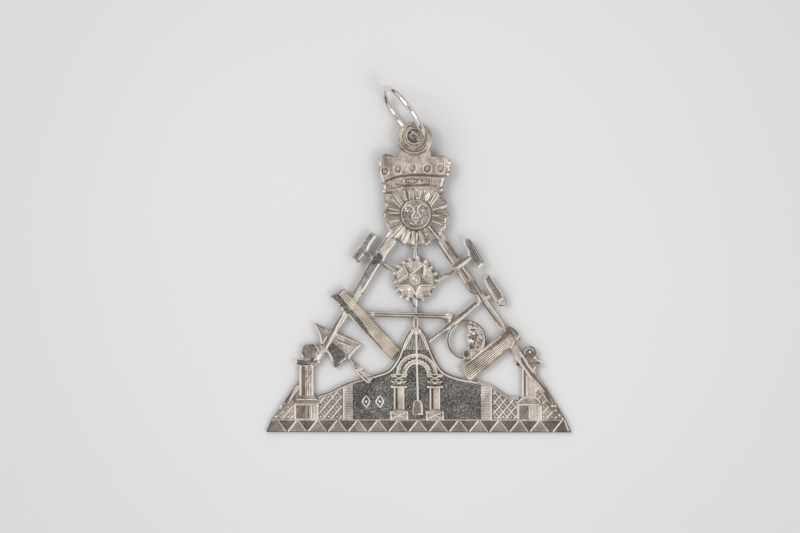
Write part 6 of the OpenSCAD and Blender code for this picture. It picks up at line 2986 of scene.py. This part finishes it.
def compass_legs() -> list[Leg]:
    """The two legs of the compasses.

    Returns:
        The left leg and the right leg.
    """
    left_shaft = [((-4.6, 39.6), (-5.5, 37.9), (-7.2, 35.4), (-7.9, 34.2)), (1.9, 1.9, 1.9, 1.9)]
    left_wide = [((-7.85, 34.4), (-11.9, 27.3)), (2.3, 1.75)]
    left_low = [((-11.4, 27.6), (-14.3, 23.2), (-18.6, 16.2), (-20.6, 13.3)), (1.15, 1.15, 1.2, 1.2)]
    left_foot = [((-20.4, 13.6), (-23.3, 9.4), (-28.7, 1.9)), (1.2, 1.25, 1.0)]
    right_shaft = [((3.5, 39.8), (5.7, 36.5), (7.6, 33.5)), (1.7, 1.6, 1.45)]
    right_wide = [((7.9, 32.9), (10.6, 28.4), (12.1, 26.9)), (1.6, 1.9, 1.5)]
    right_low = [
        ((11.9, 27.4), (13.0, 25.9), (17.0, 20.3), (19.6, 15.2), (24.6, 8.0)), (1.4, 1.25, 1.15, 1.6, 1.7)]
    right_foot = [((24.3, 8.5), (26.6, 5.0), (28.6, 2.1)), (1.7, 1.4, 1.0)]
    left = Leg(
        "left_leg", stretches=(left_shaft, left_wide, left_low, left_foot),
        finishes=(SOFT, PALE_GREEN, SOFT, BROWN_PANEL),
        bright=(
            (0.34,
             (((-4.4, 37.6), (-4.8, 36.9), (-5.9, 35.6), (-6.6, 34.4), (-6.9, 33.6)),
              ((-7.65, 33.1), (-10.9, 27.8)), ((-14.5, 23.3), (-15.85, 20.96), (-16.5, 19.3), (-18.1, 16.4)),
              ((-19.4, 15.2), (-19.95, 14.2)))),
            (0.24,
             (((-9.3, 34.5), (-8.95, 33.9)), ((-18.0, 18.8), (-18.7, 17.4)), ((-12.3, 26.9), (-12.0, 26.4)),
              ((-23.9, 9.2), (-25.3, 6.3))))),
        dark=(
            (0.26,
             (((-6.1, 38.3), (-7.45, 36.2), (-7.8, 35.6)), ((-9.2, 33.5), (-12.6, 27.3)),
              ((-10.8, 27.4), (-11.2, 27.1)), ((-23.6, 9.9), (-26.0, 5.7), (-27.8, 3.5)))),
            (0.55, (((-14.9, 23.0), (-16.2, 21.1), (-18.5, 17.2)),))),
        panels=(
            (DARK_PANEL, ((-9.35, 33.1), (-7.75, 33.0), (-10.8, 28.0), (-11.6, 29.3))),
            (MATTED,
             ((-9.0, 33.9), (-8.4, 34.9), (-7.5, 35.3), (-6.95, 34.6), (-7.2, 33.6), (-8.3, 32.2),
              (-9.2, 33.2)))))
    right = Leg(
        "right_leg", stretches=(right_shaft, right_wide, right_low, right_foot),
        finishes=(SOFT, SOFT, CLOUDED, BROWN_PANEL),
        bright=(
            (0.28,
             (((4.2, 37.3), (5.65, 35.2), (6.95, 33.2)), ((8.1, 31.4), (9.3, 29.3)),
              ((13.3, 26.1), (13.85, 25.3), (14.75, 24.1), (15.75, 22.6), (16.9, 20.9)),
              ((15.3, 21.7), (16.4, 20.1)))),
            (0.42,
             (((11.8, 26.6), (12.2, 25.5)), ((19.0, 15.0), (20.4, 13.1), (21.1, 12.1), (22.2, 10.5)),
              ((19.9, 15.8), (20.9, 14.4), (21.6, 13.1), (22.7, 11.7)))),
            (0.2, (((8.8, 32.3), (10.3, 30.1)), ((9.4, 32.2), (11.0, 29.8)), ((23.4, 9.9), (24.8, 7.9))))),
        dark=(
            (0.3,
             (((5.4, 37.5), (6.6, 36.0), (7.7, 34.2)), ((3.9, 37.1), (5.3, 35.0), (6.65, 33.1)),
              ((8.3, 32.4), (9.9, 30.1)), ((9.2, 32.5), (10.8, 30.2), (12.6, 27.0)),
              ((10.1, 27.7), (11.6, 27.2)))),
            (0.32, (((11.6, 27.6), (12.5, 26.0), (13.15, 24.95), (14.2, 23.5), (15.5, 21.7), (16.2, 20.7)),)),
            (0.5, (((20.3, 14.7), (21.1, 13.1), (22.7, 11.1), (24.8, 8.4), (25.9, 6.7)),))),
        panels=(
            (UMBER_PANEL, ((9.6, 29.6), (10.6, 29.6), (11.9, 27.4), (10.3, 28.0))),
            (SLANT_LINES, ((4.5, 37.4), (5.3, 37.4), (7.3, 34.4), (6.9, 33.8)))))
    return [left, right]


def hammers() -> list[Hammer]:
    """The mallet, the gavel and the maul.

    Returns:
        The three tools.
    """
    return [
        Hammer(
            "mallet",
            head=(
                (-9.3, 39.3), (-8.2, 38.7), (-8.7, 38.2), (-9.3, 37.3), (-9.8, 36.1), (-10.1, 35.3),
                (-10.6, 35.1), (-11.3, 34.3), (-12.0, 33.3), (-12.95, 34.5), (-11.3, 36.8)),
            face=(
                (-9.3, 39.1), (-8.7, 38.7), (-9.5, 37.4), (-10.1, 36.0), (-10.7, 35.4), (-12.0, 33.7),
                (-12.6, 34.4), (-11.2, 36.7)),
            worked=DARK_PANEL,
            handles=[
                (((-10.2, 35.5), (-8.9, 34.5)), (0.8, 0.8)),
                (((-7.4, 33.4), (-6.0, 32.4), (-4.3, 31.5)), (0.8, 0.8, 0.8))],
            bright=(
                (0.45, (((-8.4, 38.5), (-9.2, 37.5), (-9.8, 36.5), (-10.0, 35.7)),)),
                (0.24,
                 (((-10.7, 35.0), (-11.6, 33.9)), ((-12.7, 34.2), (-12.1, 33.5)),
                  ((-6.6, 33.1), (-4.6, 31.8))))),
            dark=(
                (0.3,
                 (((-10.6, 35.3), (-9.6, 34.9)), ((-7.2, 33.2), (-5.9, 32.2)),
                  ((-10.9, 34.5), (-11.8, 33.4)))),)),
        Hammer(
            "gavel",
            head=(
                (8.8, 38.1), (9.8, 38.0), (10.7, 37.1), (12.9, 33.3), (11.8, 32.1), (10.9, 33.1),
                (10.4, 34.1), (9.9, 35.6), (9.2, 36.6)),
            face=(
                (9.2, 37.8), (9.8, 37.7), (10.6, 36.9), (12.6, 33.4), (11.8, 32.7), (10.9, 33.6),
                (10.3, 34.9), (9.5, 36.8)),
            worked=STEEP_LINES, handles=[(((10.6, 34.4), (7.6, 32.1), (3.6, 29.7)), (1.0, 0.9, 0.8))],
            bright=(
                (0.36,
                 (((8.9, 37.8), (9.25, 36.7), (10.0, 35.6), (10.0, 34.6)), ((12.75, 33.1), (11.9, 32.4)),
                  ((10.2, 34.0), (9.2, 33.2), (7.8, 32.2)))),
                (0.22, (((6.0, 30.9), (4.7, 30.1), (3.9, 29.6)), ((10.6, 37.0), (12.6, 33.6))))),
            dark=(
                (0.34,
                 (((9.9, 34.5), (8.4, 33.5), (6.9, 32.6)), ((7.4, 31.9), (5.4, 30.8)),
                  ((9.9, 37.9), (10.7, 36.9), (12.75, 33.4)))),)),
        Hammer(
            "maul",
            head=(
                (12.9, 30.6), (14.0, 30.9), (16.9, 26.5), (16.4, 25.2), (15.4, 25.5), (14.0, 28.0),
                (12.9, 29.8)),
            face=((13.3, 30.3), (13.9, 30.6), (16.6, 26.5), (15.9, 25.9), (14.4, 28.2)), worked=STEEP_LINES,
            handles=[
                (((14.4, 26.9), (12.1, 25.7), (9.2, 23.1), (5.6, 20.3), (2.2, 17.9)),
                 (0.9, 0.85, 0.85, 0.75, 0.6))],
            ring=((16.5, 25.7), 0.78),
            bright=(
                (0.34, (((13.0, 30.0), (14.0, 28.0), (15.4, 25.7)),)),
                (0.26, (((12.1, 25.3), (10.8, 24.3), (9.3, 22.9), (7.2, 21.1)), ((4.0, 19.2), (2.2, 17.7)))),
                (0.2, (arc((16.5, 25.7), 0.6, 30, 330, count=12), ((14.1, 30.7), (16.7, 26.8))))),
            dark=(
                (0.5, (((11.4, 25.5), (9.5, 23.9), (7.2, 22.1), (5.2, 20.4)),)),
                (0.24,
                 (((5.2, 20.5), (2.6, 18.5)), ((13.8, 30.8), (16.3, 27.0)), ((15.9, 24.9), (16.7, 24.9))))))]


def pillars() -> list[Pillar]:
    """The pillar with the globe and the one with the bud.

    Returns:
        The left pillar and the right pillar.
    """
    return [
        Pillar(
            "left_pillar", shaft=(-23.5, -20.55), die=(-24.6, -19.6),
            moulding=((-24.7, 5.4), (-19.5, 5.4), (-19.6, 6.3), (-20.5, 7.1), (-23.5, 7.1), (-24.8, 5.9)),
            head=13.15, abacus=(-24.0, -19.5), globe=(-21.4, 15.7), radius=1.55,
            leaves=((-20.3, 14.6), (-18.6, 16.2), (-18.9, 17.4), (-19.9, 17.3), (-20.9, 16.6)), lift=0.6,
            lined=UPRIGHT_LINES,
            bright=(
                (0.36,
                 (((-23.2, 7.2), (-23.2, 13.1)), ((-20.8, 7.2), (-20.8, 13.1)), ((-24.3, 2.7), (-24.3, 5.4)),
                  ((-19.9, 2.7), (-19.9, 5.3)), ((-22.9, 15.3), (-22.7, 14.7)))),
                (0.2,
                 (((-24.5, 5.5), (-19.7, 5.5)), ((-24.0, 6.4), (-20.0, 6.4)),
                  ((-20.3, 16.9), (-19.6, 16.2), (-20.2, 15.3)), ((-19.3, 17.0), (-18.9, 16.3)),
                  ((-19.9, 14.9), (-19.2, 15.5)), ((-21.1, 2.7), (-21.1, 5.2)),
                  ((-20.5, 2.7), (-20.5, 5.2)))),
                (0.3, (((-19.7, 14.3), (-19.1, 15.3)),))),
            dark=(
                (0.55, (((-22.65, 7.2), (-22.65, 13.0)),)),
                (0.24,
                 (((-21.7, 2.7), (-21.7, 5.2)), ((-20.1, 16.3), (-19.6, 15.4)), ((-23.4, 6.9), (-21.2, 6.1)),
                  ((-23.6, 13.8), (-19.9, 13.8))))),
            panels=((UMBER_PANEL, ((-23.95, 2.7), (-22.2, 2.7), (-22.2, 5.2), (-23.95, 5.2))),),
            dots=((0.3, ((-24.0, 13.8), (-19.6, 13.8), (-19.8, 5.1))),), level=FACE + 0.06),
        Pillar(
            "right_pillar", shaft=(20.3, 23.2), die=(19.3, 24.4),
            moulding=((19.1, 5.4), (24.3, 5.4), (24.0, 6.0), (23.4, 6.8), (20.9, 6.9), (20.0, 6.5)),
            head=12.6, abacus=(19.3, 23.4), globe=(21.85, 15.65), radius=1.25,
            leaves=((22.6, 15.0), (23.6, 14.3), (24.2, 13.4), (23.2, 12.7), (22.4, 11.6), (21.6, 13.0)),
            lift=0.8, lined=BROWN_HATCHED,
            bright=(
                (0.36,
                 (((20.5, 7.1), (20.55, 12.4)), ((19.6, 2.7), (19.6, 5.3)), ((24.05, 2.7), (24.05, 5.2)))),
                (0.22,
                 (((21.3, 7.1), (21.3, 11.2)),
                  ((19.3, 5.6), (20.3, 6.6), (21.2, 6.9), (23.3, 6.7), (24.0, 5.8)),
                  ((19.5, 5.45), (23.8, 5.45)), ((21.8, 2.7), (21.8, 5.2)), ((23.7, 2.7), (23.7, 5.2)),
                  ((23.0, 14.7), (23.3, 14.2), (24.1, 13.9), (24.2, 13.4)), ((23.0, 12.9), (22.7, 12.2)))),
                (0.16,
                 (arc((21.85, 15.65), 0.95, 20, 200, count=10), ((22.4, 2.7), (22.4, 5.2)),
                  ((23.0, 2.7), (23.0, 5.2))))),
            dark=(
                (0.34, (((20.95, 7.0), (20.95, 12.3)), ((23.3, 13.7), (24.1, 13.5)))),
                (0.2, (((19.9, 2.65), (21.8, 2.65)), arc((21.85, 15.65), 1.15, -60, 200, count=14)))),
            panels=(
                (UMBER_PANEL, ((19.95, 2.7), (21.7, 2.7), (21.7, 5.2), (19.95, 5.2))),
                (DARK_PANEL, ((19.6, 5.6), (21.4, 5.6), (21.4, 6.7), (20.4, 6.4)))),
            dots=((0.26, ((22.0, 15.8), (23.4, 8.7), (23.1, 8.3), (22.9, 14.7))),), level=FACE + 0.06)]


def rules() -> list[Rule]:
    """The left and the right fluted rule.

    Returns:
        The left rule and the right rule.
    """
    return [
        Rule(
            "left_rule", line=((-15.6, 27.05), (-4.5, 15.3)), widths=(3.1, 2.75), flutes=7,
            strip=(-0.88, -0.1), taper=0.7, finishes=(YELLOWED, MATTED),
            flap=((-17.2, 26.8), (-14.4, 28.2), (-14.0, 26.4), (-14.6, 23.8)),
            bright=(
                (0.2,
                 (((-13.7, 23.25), (-10.9, 20.0), (-7.0, 15.8), (-5.4, 14.3)), ((-16.7, 26.1), (-15.3, 24.9)),
                  ((-15.4, 26.9), (-14.4, 27.9), (-13.9, 27.3)))),
                (0.36, (((-15.0, 24.6), (-14.8, 23.9)),))),
            dark=((0.2, (((-13.4, 23.5), (-10.7, 20.4), (-7.0, 16.3)), ((-17.0, 26.7), (-16.0, 26.9)))),),
            panels=(
                (MATTED,
                 ((-16.9, 26.65), (-15.6, 27.1), (-14.9, 26.4), (-13.9, 24.4), (-14.4, 24.2), (-15.4, 25.2),
                  (-16.2, 26.1))),)),
        Rule(
            "right_rule", line=((19.0, 19.55), (9.1, 11.2)), widths=(3.05, 3.4), flutes=9,
            strip=(-0.93, -0.2), taper=0.66, finishes=(BROWN_YELLOW, UMBER_PANEL),
            bright=(
                (0.3, (((18.9, 17.7), (18.1, 16.6)),)),
                (0.18, (((19.9, 18.9), (19.5, 18.3)), ((16.3, 18.9), (10.6, 14.2))))),
            dark=(
                (0.32,
                 (((17.2, 20.2), (18.1, 20.6), (19.0, 20.0), (19.6, 19.3)), ((20.1, 18.6), (19.6, 18.1)),
                  ((17.9, 19.7), (18.9, 18.9)))),
                (0.16, (((12.7, 15.6), (9.6, 13.0)), ((19.2, 17.6), (13.0, 12.3))))))]


def corners() -> list[Corner]:
    """The two latticed corners of the base.

    Returns:
        The left corner and the right corner.
    """
    return [
        Corner(
            "left_corner",
            outline=((-29.3, 1.2), (-28.0, 3.8), (-26.0, 6.1), (-23.7, 9.9), (-22.6, 9.9), (-22.6, 1.2)),
            lean=((-26.2, 5.8), (-25.6, 6.6), (-23.6, 9.8)),
            edge=((-26.3, 5.4), (-26.9, 4.6), (-27.5, 3.9), (-28.1, 3.0), (-27.0, 5.0))),
        Corner(
            "right_corner",
            outline=((22.6, 1.2), (22.6, 9.6), (24.4, 8.6), (26.1, 5.6), (28.2, 3.0), (29.3, 1.2)),
            lean=((24.2, 8.9), (25.2, 7.2), (25.9, 6.1)),
            edge=((26.3, 5.2), (27.0, 4.3), (27.7, 3.4), (28.3, 2.7), (26.9, 5.2)))]


def emblems() -> list[Emblem]:
    """All emblems of the plate, in the order in which they are built.

    Returns:
        The emblems, each still to be built.
    """
    return [
        BaseBand(), Mound(), *corners(), Column("left_column", x=-3.8), Column("right_column", x=3.25),
        Arch(), PlumbLine(), *pillars(), *compass_legs(), *rules(), *hammers(), CrossBar(), Rods(), Trowel(),
        Moon(), Star(), Sun(), Crown(), Eyelet(), JumpRing()]


def main() -> None:
    """Builds every emblem, the ring and the studio."""
    logging.basicConfig(level=logging.INFO, format="%(message)s")
    for group in (tone_group, punch_group, graver_group, grain_group):
        group()
    bench = Bench(Seat.of_node(bpy.data.objects[PLATE_NODE]), Grower())
    for emblem in emblems():
        emblem.build(bench)
    Studio().build()
    bpy.context.view_layer.update()


if __name__ == "__main__":
    main()
